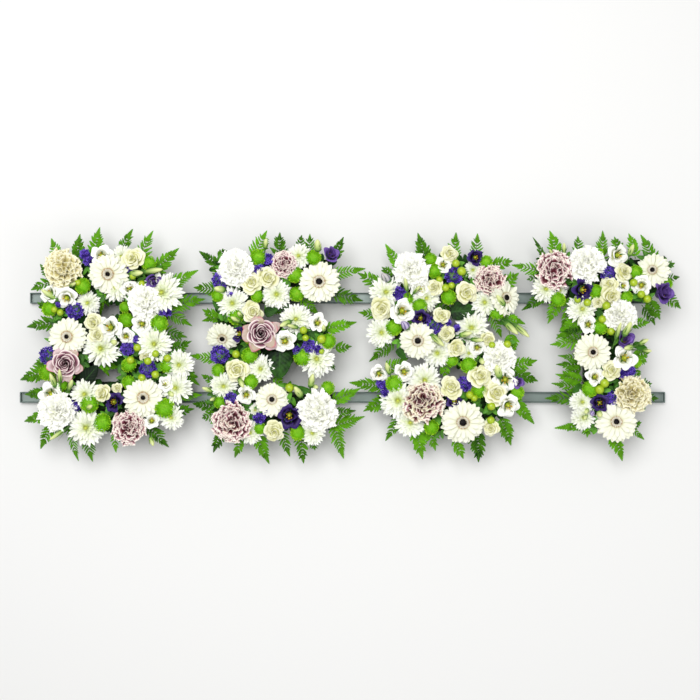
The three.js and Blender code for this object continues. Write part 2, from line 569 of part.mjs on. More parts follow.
// A cluster's blooms are a branched spray: each one branches from its nearest neighbour of
// those already placed, and only the first has a stem down into the foam.
function branch(blooms) {
  blooms.forEach((place, i) => {
    const gap = (other) => Math.hypot(other.x - place.x, other.y - place.y);
    place.parent = i ? blooms.slice(0, i).sort((a, b) => gap(a) - gap(b))[0] : null;
  });
}

function meshOf(name, solid, colour) {
  const metalness = colour === "rail" ? 0.5 : 0;
  const material = new THREE.MeshStandardMaterial({ color: COLOURS[colour], roughness: 0.6, metalness });
  const mesh = new THREE.Mesh(geometryOf(solid), material);
  mesh.name = name;
  return mesh;
}

function rail(name, { from, to, y }) {
  const outer = new THREE.BoxGeometry(to - from, RAIL.width, RAIL.height);
  outer.translate((from + to) / 2, y, RAIL.height / 2);
  const inner = new THREE.BoxGeometry(to - from - 2 * RAIL.wall, RAIL.width - 2 * RAIL.wall, RAIL.height);
  inner.translate((from + to) / 2, y, RAIL.height / 2 + RAIL.wall);
  return meshOf(name, solidOf(outer).subtract(solidOf(inner)), "rail");
}

// One letter: backing board, foam, leaf bed with all that roots in it, and the clusters.
function letter({ name, x, clusters, rooted, berries, buds, leaves, fronds }) {
  const { outline, holes } = OUTLINES[name];
  const placeOf = (node) => ([kind, bx, by, radius]) => {
    const [foot, stemEnd] = [BLOOMS[kind].foot, node ? STEM.deep : STEM.rooted];
    const root = node ? [bx, by] : rootOf(outline, bx, by);
    return { kind, x: bx, y: by, radius, node, foot, stemEnd, root, parent: null };
  };
  const sprays = Object.entries(clusters).map(([node, [colour, blooms]]) => {
    const places = blooms.map(placeOf(node));
    branch(places);
    return { node, colour, places };
  });
  const roots = rooted.map(placeOf(null));
  const berryPlaces = berries.map(([bx, by]) => ({ x: bx, y: by, radius: SPINDLE.berry }));
  const blooms = [...sprays.flatMap((spray) => spray.places), ...roots];
  const all = [...blooms, ...berryPlaces];
  const solids = new Map(blooms.map((place, order) => {
    place.neighbours = all.filter((other) => other !== place
      && Math.hypot(other.x - place.x, other.y - place.y) < place.radius + other.radius);
    return [place, bloom(place, order)];
  }));
  const stemHoles = Manifold.union(sprays.map(({ places: [first] }) => {
    const rings = [HOLE.top, HOLE.bottom].map((z) => stemRing(first.x, first.y, z, HOLE.radius));
    const sides = [[0, 1], [1, 2], [2, 0]].flatMap(([i, j]) => [[i, 3 + i, j], [j, 3 + i, 3 + j]]);
    return solidFrom(rings.flat(), [[0, 1, 2], [3, 5, 4], ...sides]);
  }));
  const board = slab(outline, holes, BACKING.bottom, BACKING.top);
  const foam = slab(outline, holes, FOAM.bottom, FOAM.top).subtract(stemHoles);
  const bed = slab(leafyEdge(outline), holes, BED.bottom, BED.top);
  const greens = [bed, ...roots.map((place) => solids.get(place))];
  greens.push(...fronds.map((line) => frond(line)), ...leaves.map(broadLeaf));
  const [low, high] = [STEM.rooted, SPINDLE.top];
  greens.push(...berries.map(([bx, by]) => spindle([bx, by, low], [bx, by, high], SPINDLE.berry)));
  greens.push(...buds.map(([x0, y0, x1, y1]) => spindle([x0, y0, low], [x1, y1, high], SPINDLE.bud)));
  const group = new THREE.Group();
  group.add(meshOf(`${name}_backing_board`, board, "backing"));
  group.add(meshOf(`${name}_foam`, foam, "foam"));
  group.add(meshOf(`${name}_greenery`, joined(greens).subtract(stemHoles), "greenery"));
  for (const { node, colour, places } of sprays) {
    group.add(meshOf(`${name}_${node}`, joined(places.map((place) => solids.get(place))), colour));
  }
  group.position.set(x, LETTER_Y, 0);
  return group;
}

const tribute = new THREE.Group();
tribute.add(rail("lower_rail", LOWER_RAIL), rail("upper_rail", UPPER_RAIL));
LETTERS.forEach((entry) => tribute.add(letter(entry)));

export default tribute;
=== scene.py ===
"""A funeral flower tribute: four floral foam letters, packed with blooms and ringed with
fern, lying flat on two slim grey rails. Blooms are placed in mm from their letter's middle."""

import bmesh
import bpy
import numpy as np
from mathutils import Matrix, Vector
from mathutils.bvhtree import BVHTree


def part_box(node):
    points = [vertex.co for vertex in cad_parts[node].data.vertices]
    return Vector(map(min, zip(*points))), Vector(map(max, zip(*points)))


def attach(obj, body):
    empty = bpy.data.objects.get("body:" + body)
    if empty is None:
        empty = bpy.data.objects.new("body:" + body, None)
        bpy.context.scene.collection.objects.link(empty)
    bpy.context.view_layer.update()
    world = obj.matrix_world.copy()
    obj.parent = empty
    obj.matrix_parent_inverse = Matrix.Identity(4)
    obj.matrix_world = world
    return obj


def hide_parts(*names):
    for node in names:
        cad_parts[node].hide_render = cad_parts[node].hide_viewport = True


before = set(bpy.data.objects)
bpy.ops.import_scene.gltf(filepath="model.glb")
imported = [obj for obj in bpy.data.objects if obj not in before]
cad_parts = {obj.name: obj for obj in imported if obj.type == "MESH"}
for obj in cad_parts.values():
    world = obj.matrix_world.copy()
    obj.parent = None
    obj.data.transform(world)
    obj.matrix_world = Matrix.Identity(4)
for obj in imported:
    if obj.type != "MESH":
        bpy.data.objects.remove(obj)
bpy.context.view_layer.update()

# The studio: a pale floor that runs on past the view, a wide soft light straight overhead,
# a weaker one to one side, and the camera above the middle, looking straight down.
CAMERA_PLACE = (0.0133, 0.0837, 1.880)
CAMERA_LENS = 54.45
FLOOR_REACH = 8.0
FLOOR_WHITE = (0.79, 0.79, 0.78, 1)
LAMPS = (("soft_overhead", 68, 1.9, (-0.4, 0.8, 2.6)), ("soft_side", 13, 1.6, (1.8, -1.2, 1.9)))
LAMP_AIM = (0, 0.08, 0)
ROOM_LIGHT = 0.43

camera = bpy.data.objects.new("camera", bpy.data.cameras.new("camera"))
camera.data.lens = CAMERA_LENS
camera.location = CAMERA_PLACE
bpy.context.collection.objects.link(camera)
bpy.context.scene.camera = camera

floor = bpy.data.objects.new("floor", bpy.data.meshes.new("floor"))
corners = [(x * FLOOR_REACH, y * FLOOR_REACH, 0) for x, y in ((-1, -1), (1, -1), (1, 1), (-1, 1))]
floor.data.from_pydata(corners, [], [(0, 1, 2, 3)])
bpy.context.collection.objects.link(floor)
floor_paint = bpy.data.materials.new("pale_floor")
floor_paint.use_nodes = True
floor_paint.node_tree.nodes["Principled BSDF"].inputs["Base Color"].default_value = FLOOR_WHITE
floor_paint.node_tree.nodes["Principled BSDF"].inputs["Roughness"].default_value = 0.9
floor.data.materials.append(floor_paint)

for lamp_name, power, size, place in LAMPS:
    lamp = bpy.data.objects.new(lamp_name, bpy.data.lights.new(lamp_name, "AREA"))
    lamp.data.energy = power
    lamp.data.size = size
    lamp.location = place
    lamp.rotation_euler = (Vector(LAMP_AIM) - lamp.location).to_track_quat("-Z", "Y").to_euler()
    bpy.context.collection.objects.link(lamp)
world = bpy.data.worlds.new("studio")
world.use_nodes = True
world.node_tree.nodes["Background"].inputs["Color"].default_value = (1, 1, 1, 1)
world.node_tree.nodes["Background"].inputs["Strength"].default_value = ROOM_LIGHT
bpy.context.scene.world = world
bpy.context.scene.view_settings.view_transform = "Standard"


# Rails: two shallow channels of folded steel, open upwards, painted a pale grey. The letters
# lie across them. Their rims are painted darker, as painted shade on the folded, rounded edges.
RAIL_GREY = (136, 149, 144)
RAIL_WORN = (122, 135, 130)
RAIL_RIM_SHADE = (100, 116, 111)
RAIL_ROUNDING = 0.0006
RIM_FROM_MIDDLE = (0.0076, 0.0083)
RIM_FROM_END = (0.002, 0.0012)


def paint(colour):
    """The linear colour of an sRGB one given from 0 to 255. A value in the nodes is kept."""
    if isinstance(colour, Signal):
        return colour
    share = np.array(colour) / 255
    linear = np.where(share > 0.04045, ((share + 0.055) / 1.055) ** 2.4, share / 12.92)
    return (*map(float, linear), 1.0)


class Signal:
    """A value in one material's nodes. Python's arithmetic on it adds Math nodes."""

    def __init__(self, tree, socket=None):
        self.tree = tree
        self.socket = socket

    def node(self, kind, settings=None, inputs=None, output=0):
        """Adds a node of that kind: first its settings, then its sockets' values or links."""
        made = self.tree.nodes.new(kind)
        for name, value in (settings or {}).items():
            setattr(made, name, value)
        for name, value in (inputs or {}).items():
            if isinstance(value, Signal):
                self.tree.links.new(value.socket, made.inputs[name])
            else:
                made.inputs[name].default_value = value
        return Signal(self.tree, made.outputs[output])

    def out(self, output):
        """Another output of the node that this value comes from."""
        return Signal(self.tree, self.socket.node.outputs[output])

    def math(self, operation, first, second=0.0):
        return self.node("ShaderNodeMath", {"operation": operation}, {0: first, 1: second})

    def __add__(self, other):
        return self.math("ADD", self, other)

    def __sub__(self, other):
        return self.math("SUBTRACT", self, other)

    def __rsub__(self, other):
        return self.math("SUBTRACT", other, self)

    def __mul__(self, other):
        return self.math("MULTIPLY", self, other)

    __radd__ = __add__
    __rmul__ = __mul__

    def __abs__(self):
        return self.math("ABSOLUTE", self)

    def wave(self, turns):
        """A sine from -1 to 1 with that many turns for each unit."""
        return self.math("SINE", self * (turns * 2 * np.pi))

    def step(self, low, high):
        """0 below low and 1 above high, with a smooth rise between."""
        return self.node("ShaderNodeMapRange", {"interpolation_type": "SMOOTHSTEP"},
                         {"Value": self, "From Min": low, "From Max": high})

    def blend(self, first, second):
        """The first colour where this value is 0, and the second where it is 1."""
        return self.node("ShaderNodeMix", {"data_type": "RGBA"},
                         {0: self, 6: paint(first), 7: paint(second)}, output=2)

    def place(self):
        """Position in the object's own frame, in metres: x, with y and z as further outputs."""
        return self.node("ShaderNodeSeparateXYZ", {}, {0: self.node("ShaderNodeTexCoord", output=3)})

    def petal(self):
        """The way across and along a petal or leaf, and its own tone, each from 0 to 1."""
        place = self.node("ShaderNodeUVMap", {"uv_map": "UVMap"})
        across = self.node("ShaderNodeSeparateXYZ", {}, {0: place})
        return across, across.out(1), self.node("ShaderNodeAttribute", {"attribute_name": "tone"}, output=2)

    def noise(self, scale, detail=3.0):
        """Slow mottle fixed to the object, about 0.5 in the mean, scale cells for each metre."""
        place = self.node("ShaderNodeTexCoord", output=3)
        return self.node("ShaderNodeTexNoise", {}, {"Vector": place, "Scale": scale, "Detail": detail})

    def bump(self, distance):
        """A normal for relief of this height, in metres of distance."""
        return self.node("ShaderNodeBump", {}, {"Height": self, "Distance": distance, "Strength": 1.0})

    def feed(self, socket):
        self.tree.links.new(self.socket, socket)


def finish(name, roughness, fixed=None):
    """A new material, the start of its nodes, and its shader's sockets, fixed values set."""
    material = bpy.data.materials.new(name)
    material.use_nodes = True
    shader = material.node_tree.nodes["Principled BSDF"].inputs
    for label, value in {"Roughness": roughness, **(fixed or {})}.items():
        shader[label].default_value = value
    return material, Signal(material.node_tree), shader


def adopt(piece, slot, *nodes):
    """The piece rides on the one body and stands for its nodes, which it hides. Its slot is not used."""
    bpy.context.collection.objects.link(piece)
    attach(piece, "root")
    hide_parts(*nodes)


def merged(source, mesh):
    """Fills the mesh with the source's shape, with its doubled points merged."""
    shape = bmesh.new()
    shape.from_mesh(source)
    bmesh.ops.remove_doubles(shape, verts=shape.verts, dist=1e-6)
    shape.to_mesh(mesh)
    shape.free()


def dress(name, node, rounding, material, slot):
    """Adopts a copy of a CAD node with its sharp edges rounded."""
    mesh = bpy.data.meshes.new(name)
    merged(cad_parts[node].data, mesh)
    mesh.materials.clear()
    mesh.materials.append(material)
    piece = bpy.data.objects.new(name, mesh)
    bevel = piece.modifiers.new("rounding", "BEVEL")
    bevel.width = rounding
    bevel.segments = 2
    bevel.limit_method = "ANGLE"
    adopt(piece, slot, node)


for rail_name in ("lower_rail", "upper_rail"):
    low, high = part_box(rail_name)
    half_length = float(high[0] - low[0]) / 2
    rail_paint, s, shader = finish(f"{rail_name}_paint", 0.4, {"Metallic": 0.35})
    place = s.place()
    # Masks of the side and end rims, where the grey is darkened to a painted shade.
    side_rim_shade = abs(place.out(1) - float(low[1] + high[1]) / 2).step(*RIM_FROM_MIDDLE)
    end_rim_shade = abs(place - float(low[0] + high[0]) / 2).step(*(half_length - back for back in RIM_FROM_END))
    worn = s.noise(45, 4)
    grey = worn.blend(RAIL_GREY, RAIL_WORN)
    s.math("MAXIMUM", side_rim_shade, end_rim_shade).blend(grey, RAIL_RIM_SHADE).feed(shader["Base Color"])
    (worn * 0.25 + 0.3).feed(shader["Roughness"])
    s.noise(700, 2).bump(0.00006).feed(shader["Normal"])
    dress(f"{rail_name}_channel", rail_name, RAIL_ROUNDING, rail_paint, "rail_metal")


# Backing boards: one stiff dark plastic board under each foam letter, cut to its outline. The
# foam is bonded to it, and it is what rests on the rails.
BOARD_ROUNDING = 0.0008
board_plastic, s, shader = finish("board_plastic", 0.55)
s.noise(30).blend((24, 38, 26), (34, 50, 36)).feed(shader["Base Color"])
s.noise(900, 4).bump(0.00015).feed(shader["Normal"])
for letter in "best":
    dress(f"{letter}_board", f"{letter}_backing_board", BOARD_ROUNDING, board_plastic, "backing_board")


# Floral foam: a wet, nearly black-green block of fine cells, cut to the letter, into which
# every stem is pushed. It shows at the sides, and darkly between the blooms.
FOAM_ROUNDING = 0.0012
wet_foam, s, shader = finish("wet_foam", 0.8, {"Specular IOR Level": 0.1})
s.noise(60, 4).blend((9, 14, 8), (24, 34, 20)).feed(shader["Base Color"])
(s.noise(1400, 6) + s.noise(160, 3) * 0.8).bump(0.0006).feed(shader["Normal"])
for letter in "best":
    dress(f"{letter}_foam_block", f"{letter}_foam", FOAM_ROUNDING, wet_foam, "floral_foam")


# Leaf bed: short dark leaves pushed in flat all over the foam and outwards round its edge, to
# hide it before the blooms go in.
LETTER_X = {"b": -391.3, "e": -109.1, "s": 178.2, "t": 453.6}
LETTER_Y = 93.9
BED_SPACING = 9.5
BED_LEVEL = (60.4, 64.5)
EDGE_STEP = 11
RAY_START = 0.3
FOAM_LEAST = 0.03
foam_tree = {}
for letter in LETTER_X:
    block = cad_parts[f"{letter}_foam"].data
    foam_tree[letter] = BVHTree.FromPolygons([point.co for point in block.vertices],
                                             [face.vertices for face in block.polygons])


def over_foam(letter, x, y):
    """Whether a point of the letter, in mm from its middle, has foam under it."""
    start = Vector(((LETTER_X[letter] + x) / 1000, (LETTER_Y + y) / 1000, RAY_START))
    hit = foam_tree[letter].ray_cast(start, Vector((0, 0, -1)))[0]
    return hit is not None and hit.z > FOAM_LEAST


def at(letter, x, y, level):
    """Points (n, 3) in mm, from their places in the letter and their level."""
    return np.column_stack(np.broadcast_arrays(LETTER_X[letter] + x, LETTER_Y + y, level))


def scattered(spacing, shake, rng):
    """Points (n, 2) all over a letter's box, each shaken off its even place by up to shake."""
    x, y = np.meshgrid(np.arange(-120, 121, spacing), np.arange(-150, 151, spacing))
    return np.column_stack([x.ravel(), y.ravel()]) + rng.uniform(-shake, shake, (x.size, 2))


def straps(azimuth, root, height, length, width, elevation, bend, cup, shape, across=5, along=7):
    """Petals or leaves as points (..., across, along, 3) in their flower's frame.

    Each leaves the point (root, height) of its azimuth's plane, climbs at its elevation and
    turns by bend on the way to its tip, so after a share v it has gone length * v at
    elevation + bend * v / 2. It is width * shape(v) wide, and its edges stand off its middle by
    cup times that width times the square of their distance u from it.
    """
    azimuth, root, height, length, width, elevation, bend, cup = (
        value[..., None, None]
        for value in np.broadcast_arrays(azimuth, root, height, length, width, elevation, bend, cup))
    u = np.linspace(-1, 1, across)[:, None]
    v = np.linspace(0, 1, along)[None, :]
    half = width / 2 * shape(v)
    lift = cup * 2 * half * u ** 2
    mean = elevation + bend * v / 2
    end = elevation + bend * v
    radial = root + length * v * np.cos(mean) - lift * np.sin(end)
    up = height + length * v * np.sin(mean) + lift * np.cos(end)
    side = half * u
    return np.stack([radial * np.cos(azimuth) + side * np.sin(azimuth),
                     radial * np.sin(azimuth) - side * np.cos(azimuth), up], axis=-1)


def pointed(v):
    """Half a lens: widest a little below the middle, to a narrow point."""
    return 0.06 + 0.94 * np.sin(np.pi * v ** 0.8) ** 0.9


def stand(shape, centre, lean):
    """Shapes in flowers' own frames, (flowers, petals, across, along, 3) in mm, each flower
    tipped so that its axis points along (lean, 1) and carried to its centre, in metres."""
    dx, dy = lean.T / np.sqrt(1 + (lean ** 2).sum(axis=1))
    a, b, c = -dy, dx, np.sqrt(1 - dx ** 2 - dy ** 2)
    turn = np.array([[1 - b * b / (1 + c), a * b / (1 + c), b],
                     [a * b / (1 + c), 1 - a * a / (1 + c), -a],
                     [-b, a, c]])
    return (np.einsum("ijf,fnuvj->fnuvi", turn, shape) + centre[:, None, None, None, :]) / 1000


def piece(name, patches, materials):
    """One mesh from patches of (points, tone, material number). Points are grids of shape
    (..., across, along, 3) in metres, each grid a petal whose faces point to across x along.
    UV runs from 0 to 1 across and along each petal, "tone" is one number for each, and
    material -1 is the last one."""
    points, faces, uvs, tones, numbers = [], [], [], [], []
    start = 0
    for grid, tone, number in patches:
        across, along = grid.shape[-3:-1]
        count = grid.size // (3 * across * along)
        index = np.arange(across * along).reshape(across, along)
        quads = np.stack([index[:-1, :-1], index[1:, :-1], index[1:, 1:], index[:-1, 1:]], axis=-1)
        quads = quads.reshape(-1, 4)
        faces.append((quads + start + np.arange(count)[:, None, None] * across * along).reshape(-1, 4))
        uv = np.meshgrid(np.linspace(0, 1, across), np.linspace(0, 1, along), indexing="ij")
        uv = np.stack(uv, axis=-1)
        uvs.append(np.tile(uv.reshape(-1, 2)[quads.ravel()], (count, 1)))
        points.append(grid.reshape(-1, 3))
        tones.append(np.repeat(np.broadcast_to(tone, grid.shape[:-3]).ravel(), across * along))
        numbers.append(np.full(count * len(quads), number % len(materials)))
        start += count * across * along
    mesh = bpy.data.meshes.new(name)
    mesh.from_pydata(np.concatenate(points), [], np.concatenate(faces))
    mesh.uv_layers.new(name="UVMap").uv.foreach_set("vector", np.concatenate(uvs).ravel())
    mesh.attributes.new("tone", "FLOAT", "POINT").data.foreach_set("value", np.concatenate(tones))
    for material in materials:
        mesh.materials.append(material)
    mesh.polygons.foreach_set("material_index", np.concatenate(numbers))
    mesh.polygons.foreach_set("use_smooth", np.ones(len(mesh.polygons), bool))
    merged(mesh, mesh)
    return bpy.data.objects.new(name, mesh)


def leaf_finish(name, dark, bright, rib, roughness, veins, gloss=0.3):
    """A leaf from dark to bright by its own tone, a mottle and the way to its tip, with a paler
    midrib and side veins that slant forward from it, both also in the relief."""
    material, s, shader = finish(name, roughness, {"Specular IOR Level": gloss})
    across, along, tone = s.petal()
    off = abs(across - 0.5)
    midrib = 1 - off.step(0.015, 0.07)
    side_veins = (along - off * 0.7).wave(veins)
    leaf = (tone * 0.7 + (s.noise(110) - 0.5) * 0.7 + along * 0.3).blend(dark, bright)
    (midrib * 0.4 + side_veins.step(0.75, 1.0) * 0.2).blend(leaf, rib).feed(shader["Base Color"])
    (side_veins * 0.3 - midrib * 1.2 + s.noise(900) * 0.5).bump(0.0003).feed(shader["Normal"])
    return material


# The bed leaves' near-black dark end is painted shade under the blooms; the leaves round the edge take a
# larger tone and are painted lighter, out of that shade.
shaded_bed_green = leaf_finish("bed_leaf", (3, 8, 3), (42, 88, 26), (40, 72, 28), 0.7, 7, 0.1)
for letter in LETTER_X:
    rng = np.random.default_rng(ord(letter))
    bed = []
    for x, y in scattered(BED_SPACING, 4, rng):
        if over_foam(letter, x, y):
            rays = [(np.cos(a), np.sin(a)) for a in rng.uniform(0, 2 * np.pi) + np.arange(8) * np.pi / 4]
            out = [(i, j) for i, j in rays if not over_foam(letter, x + EDGE_STEP * i, y + EDGE_STEP * j)]
            heading = np.sum(out, axis=0) if out else rays[0]
            bed.append((x, y, np.arctan2(heading[1], heading[0]), len(out) > 0))
    bed = np.array(bed)
    size = (len(bed), 1)
    edge = bed[:, 3:]
    leaves = straps(bed[:, 2:3], -6, 0, rng.uniform(17, 27, size) - 3 * edge, rng.uniform(7, 11, size),
                    rng.uniform(0.02, 0.2, size), rng.uniform(-0.5, -0.1, size) - 1.1 * edge, 0.14,
                    pointed, 3, 6)
    centre = at(letter, bed[:, 0], bed[:, 1], rng.uniform(*BED_LEVEL, len(bed)))
    grids = stand(leaves, centre, rng.normal(0, 0.06, (len(bed), 2)))
    tone = rng.random(size) * 0.3 + 0.6 * edge
    adopt(piece(f"{letter}_leaf_bed", [(grids, tone, 0)], [shaded_bed_green]), "greenery", f"{letter}_greenery")


# Fern: leatherleaf fronds, cut short and pushed into the foam's edge, so that they stand out
# all round the letter and droop. Given as base and tip; each stalk goes on back into the bed.
FROND_LEVEL = 62.2
FROND_DROOP = 0.5
FROND_ROOT = 16
PINNA_SPACING = 5.4
FERNS = {
    "b": [(-95, 150, -113, 183), (-62, 150, -64, 190), (-32, 160, -30, 202), (13, 160, 27, 199),
          (47, 155, 62, 196), (80, 135, 107, 166), (102, 105, 140, 128), (112, 70, 152, 78),
          (102, 50, 130, 32), (92, 20, 122, 12), (104, -8, 130, 5), (116, -45, 143, -71),
          (118, -88, 148, -88), (108, -115, 135, -112), (68, -150, 90, -178), (2, -160, 0, -187),
          (-45, -165, -42, -203), (-72, -160, -67, -202), (-110, -148, -132, -181),
          (-122, -122, -160, -134), (-126, -85, -158, -87), (-122, -48, -168, -62), (-115, -30, -142, -35),
          (-112, 35, -156, 30), (-115, 62, -135, 72), (-113, 105, -148, 94), (-112, 120, -131, 138),
          (-20, 90, -12, 65), (-20, 90, 5, 80), (-20, 90, -28, 48), (-22, -30, -12, -55),
          (-20, -35, 8, -40)],
    "e": [(-102, 134, -139, 161), (-99, 152, -93, 163), (-36, 162, -22, 196), (1, 162, 1, 193),
          (36, 169, 39, 188), (53, 162, 53, 190), (98, 156, 111, 185), (105, 122, 148, 131),
          (107, 84, 144, 75), (96, 29, 133, 38), (105, -6, 125, -4), (88, -31, 97, -45),
          (105, -92, 140, -77), (105, -117, 132, -115), (103, -137, 147, -126), (100, -156, 111, -198),
          (39, -171, 42, -206), (58, -165, 62, -183), (9, -162, 18, -194), (-31, -170, -18, -207),
          (-64, -166, -77, -196), (-100, -158, -114, -187), (-116, -107, -150, -103),
          (-116, -122, -133, -128), (-112, -64, -134, -53), (-116, -24, -154, -20), (-106, 45, -133, 60),
          (-106, 45, -133, 40), (-113, 94, -148, 98), (-105, 118, -114, 117), (45, 75, 69, 49),
          (-14, 64, 6, 52), (-4, -62, 8, -70)],
    "s": [(-83, 135, -103, 173), (-38, 152, -47, 192), (13, 156, 19, 193), (51, 158, 56, 191),
          (90, 137, 116, 144), (105, 107, 127, 123), (110, 68, 120, 62), (83, 41, 97, 12),
          (107, 45, 138, 35), (112, 8, 118, -14), (122, -36, 159, -28), (130, -54, 160, -64),
          (119, -102, 155, -138), (100, -141, 114, -175), (54, -164, 58, -204), (19, -173, 31, -198),
          (-27, -154, -17, -184), (-50, -156, -39, -199), (-87, -138, -103, -167), (-110, -98, -141, -116),
          (-117, -71, -165, -67), (-102, -5, -131, -30), (-93, -39, -64, -24), (-123, 50, -150, 55),
          (-119, 105, -151, 123), (-98, 122, -110, 133), (-12, 66, 12, 60), (52, 48, 46, 34),
          (-23, -42, -15, -60), (-2, -40, -2, -58)],
    "t": [(-50, 26, -78, 22), (-52, 8, -82, 16), (-52, -24, -80, -20), (-54, -60, -84, -52),
          (-108, 150, -123, 185), (-87, 160, -94, 196), (-50, 165, -47, 186), (-9, 158, -2, 196),
          (-30, 155, -30, 168), (19, 165, 16, 185), (47, 162, 42, 191), (77, 148, 65, 189),
          (98, 131, 121, 140), (103, 112, 129, 116), (105, 79, 132, 62), (77, 65, 96, 43), (70, 55, 87, 33),
          (51, 35, 78, 38), (-89, 62, -98, 36), (-112, 79, -142, 59), (-123, 128, -159, 137),
          (-125, 113, -136, 111), (-65, 65, -74, 22), (-49, 41, -81, 10), (-61, 3, -93, -1),
          (-55, -36, -83, -35), (-53, -45, -76, -58), (-53, -75, -90, -68), (-61, -92, -101, -94),
          (-34, -138, -83, -146), (-33, -140, -31, -161), (15, -166, 32, -202), (41, -145, 69, -165),
          (41, -141, 63, -135), (58, -71, 81, -68), (66, -92, 93, -94), (58, -105, 69, -112),
          (50, -45, 59, -56), (53, -25, 72, -31), (53, -20, 80, -12)],
}


def toothed(v):
    """A pinna's half-width: a lens to a point, with every other station drawn in as a notch."""
    notch = 1 - 0.26 * (np.arange(v.shape[-1]) % 2)
    return 0.12 + 0.88 * np.sin(np.pi * v ** 0.75) ** 0.7 * notch


def frond(base, tip, rng):
    """One frond as patches of points in mm: pinnae in pairs along the stalk, curved forward and
    shorter towards the tip, where they run together in a toothed lance. All of it lies on one
    sheet that rolls a little to one side, and drops from the base with the square of the
    distance, to FROND_DROOP of its length at its tip."""
    base, tip = np.array(base, float), np.array(tip, float)
    length = np.hypot(*(tip - base))
    ahead = (tip - base) / length
    share = np.arange(-0.35, 0.6, PINNA_SPACING / length)[:, None]
    size = (len(share), 2)
    side = np.array([1.0, -1.0])
    angle = side * (0.92 - 0.2 * share) + rng.normal(0, 0.09, size)
    reach = (0.28 * length + 7.5) * np.clip(1 - share, 0, 1) ** 0.7 * rng.uniform(0.8, 1.15)
    reach = reach * rng.uniform(0.85, 1.1, size)
    pinnae = straps(0, 0, rng.uniform(0, 0.5, size), reach, (1.8 + 0.21 * reach) * rng.uniform(0.75, 1.3),
                    rng.normal(0, 0.08, size), -0.2, 0.16, toothed, 3, 10)
    turn = angle[..., None, None] - 0.14 * side[:, None, None] * np.linspace(0, 1, 10)
    x, y = pinnae[..., 0].copy(), pinnae[..., 1].copy()
    pinnae[..., 0] = x * np.cos(turn) - y * np.sin(turn) + (share * length)[..., None, None]
    pinnae[..., 1] = x * np.sin(turn) + y * np.cos(turn)
    lance = straps([[0]], 0.54 * length, 0.3, 0.46 * length, 0.24 * length + 3.5, 0, 0, 0.1,
                   lambda v: (1.02 - v) ** 0.8 * (1 - 0.4 * (np.arange(v.shape[-1]) % 2)), 3, 15)
    lance[..., 0] += 0.05 * length * np.abs(np.linspace(-1, 1, 3))[:, None]
    stalk = straps([[0]], -FROND_ROOT, 0.3, FROND_ROOT + 0.9 * length, 1.7, 0, 0, -0.35,
                   lambda v: 1 - 0.7 * v, 3, 9)
    patches = []
    roll = rng.normal(0, 0.3)
    for grid in (pinnae, lance, stalk):
        grid[..., 2] += grid[..., 1] * np.sin(roll)
        grid[..., 1] *= np.cos(roll)
        drop = FROND_DROOP / length * np.clip(grid[..., 0], 0, None) ** 2
        flat = grid[..., 0, None] * ahead + grid[..., 1, None] * np.array([-ahead[1], ahead[0]]) + base
        patches.append(np.concatenate([flat, (FROND_LEVEL + grid[..., 2] - drop)[..., None]], axis=-1))
    return patches


fern_green = leaf_finish("fern", (0, 44, 0), (114, 186, 26), (112, 182, 50), 0.6, 4, 0.1)
fern_stalk = leaf_finish("fern_stalk", (60, 96, 34), (110, 140, 60), (120, 150, 70), 0.5, 1)
for letter in LETTER_X:
    rng = np.random.default_rng(10 + ord(letter))
    patches = []
    for x0, y0, x1, y1 in FERNS[letter]:
        tint = rng.uniform(0.05, 0.85)
        for number, grid in enumerate(frond((x0, y0), (x1, y1), rng)):
            grid = (grid + at(letter, 0, 0, rng.uniform(0, 0.3))) / 1000
            patches.append((grid, tint + rng.uniform(-0.15, 0.15, grid.shape[:-3]), int(number == 2)))
    adopt(piece(f"{letter}_fern", patches, [fern_green, fern_stalk]), "greenery", f"{letter}_greenery")


# Broad leaves: single round-bladed dark leaves laid flat among the blooms, given as base and
# tip, width, and tone from dark to bright, and sprigs of three small bright leaves, stuck in
# wherever the foam would show.
SPRIG_SPACING = 23
# A tone below 0, as on two leaves in the B, holds a leaf at its near-black dark end: a dark sheet of painted
# shade where the foam shows darkly between the blooms.
BROAD_LEAVES = {
    "b": [(-98, -60, -118, -40, 15, 0.5), (-60, 96, -80, 112, 13, 0.7), (58, 118, 82, 134, 11, 0.8),
          (84, 60, 96, 74, 12, 0.3), (-52, -66, -28, -38, 26, -0.6), (-54, 36, -42, 8, 17, -0.6),
          (78, -96, 96, -98, 12, 0.4)],
    "e": [(3, -12, 1, -57, 42, 0.0), (-24, 52, -2, 60, 17, 0.1), (-4, 60, 18, 66, 13, 0.1),
          (48, 26, 68, 14, 20, 0.2), (-60, -60, -76, -54, 12, 0.8), (30, -76, 62, -84, 13, 0.6),
          (-100, 60, -112, 76, 12, 0.5)],
    "s": [(6, 55, 48, 59, 32, 0.0), (62, -22, 78, -40, 15, 0.3), (-84, -8, -70, -26, 14, 0.3),
          (14, 130, 28, 136, 10, 0.8), (92, 40, 118, 30, 12, 0.7), (44, -112, 60, -104, 12, 0.5)],
    "t": [(-6, 138, 20, 134, 15, 0.15), (44, 0, 68, -8, 13, 0.7), (-60, 104, -74, 112, 12, 0.5),
          (-20, 56, -6, 48, 13, 0.4), (40, 84, 60, 74, 12, 0.5), (-44, -70, -58, -82, 13, 0.5)],
}


def broad(v):
    """A full leaf blade: round at the base, widest at a third, drawn to a short point."""
    return 0.08 + 0.92 * np.clip(np.sin(np.pi * np.clip(v, 0, 1) ** 0.62), 0, 1) ** 0.62


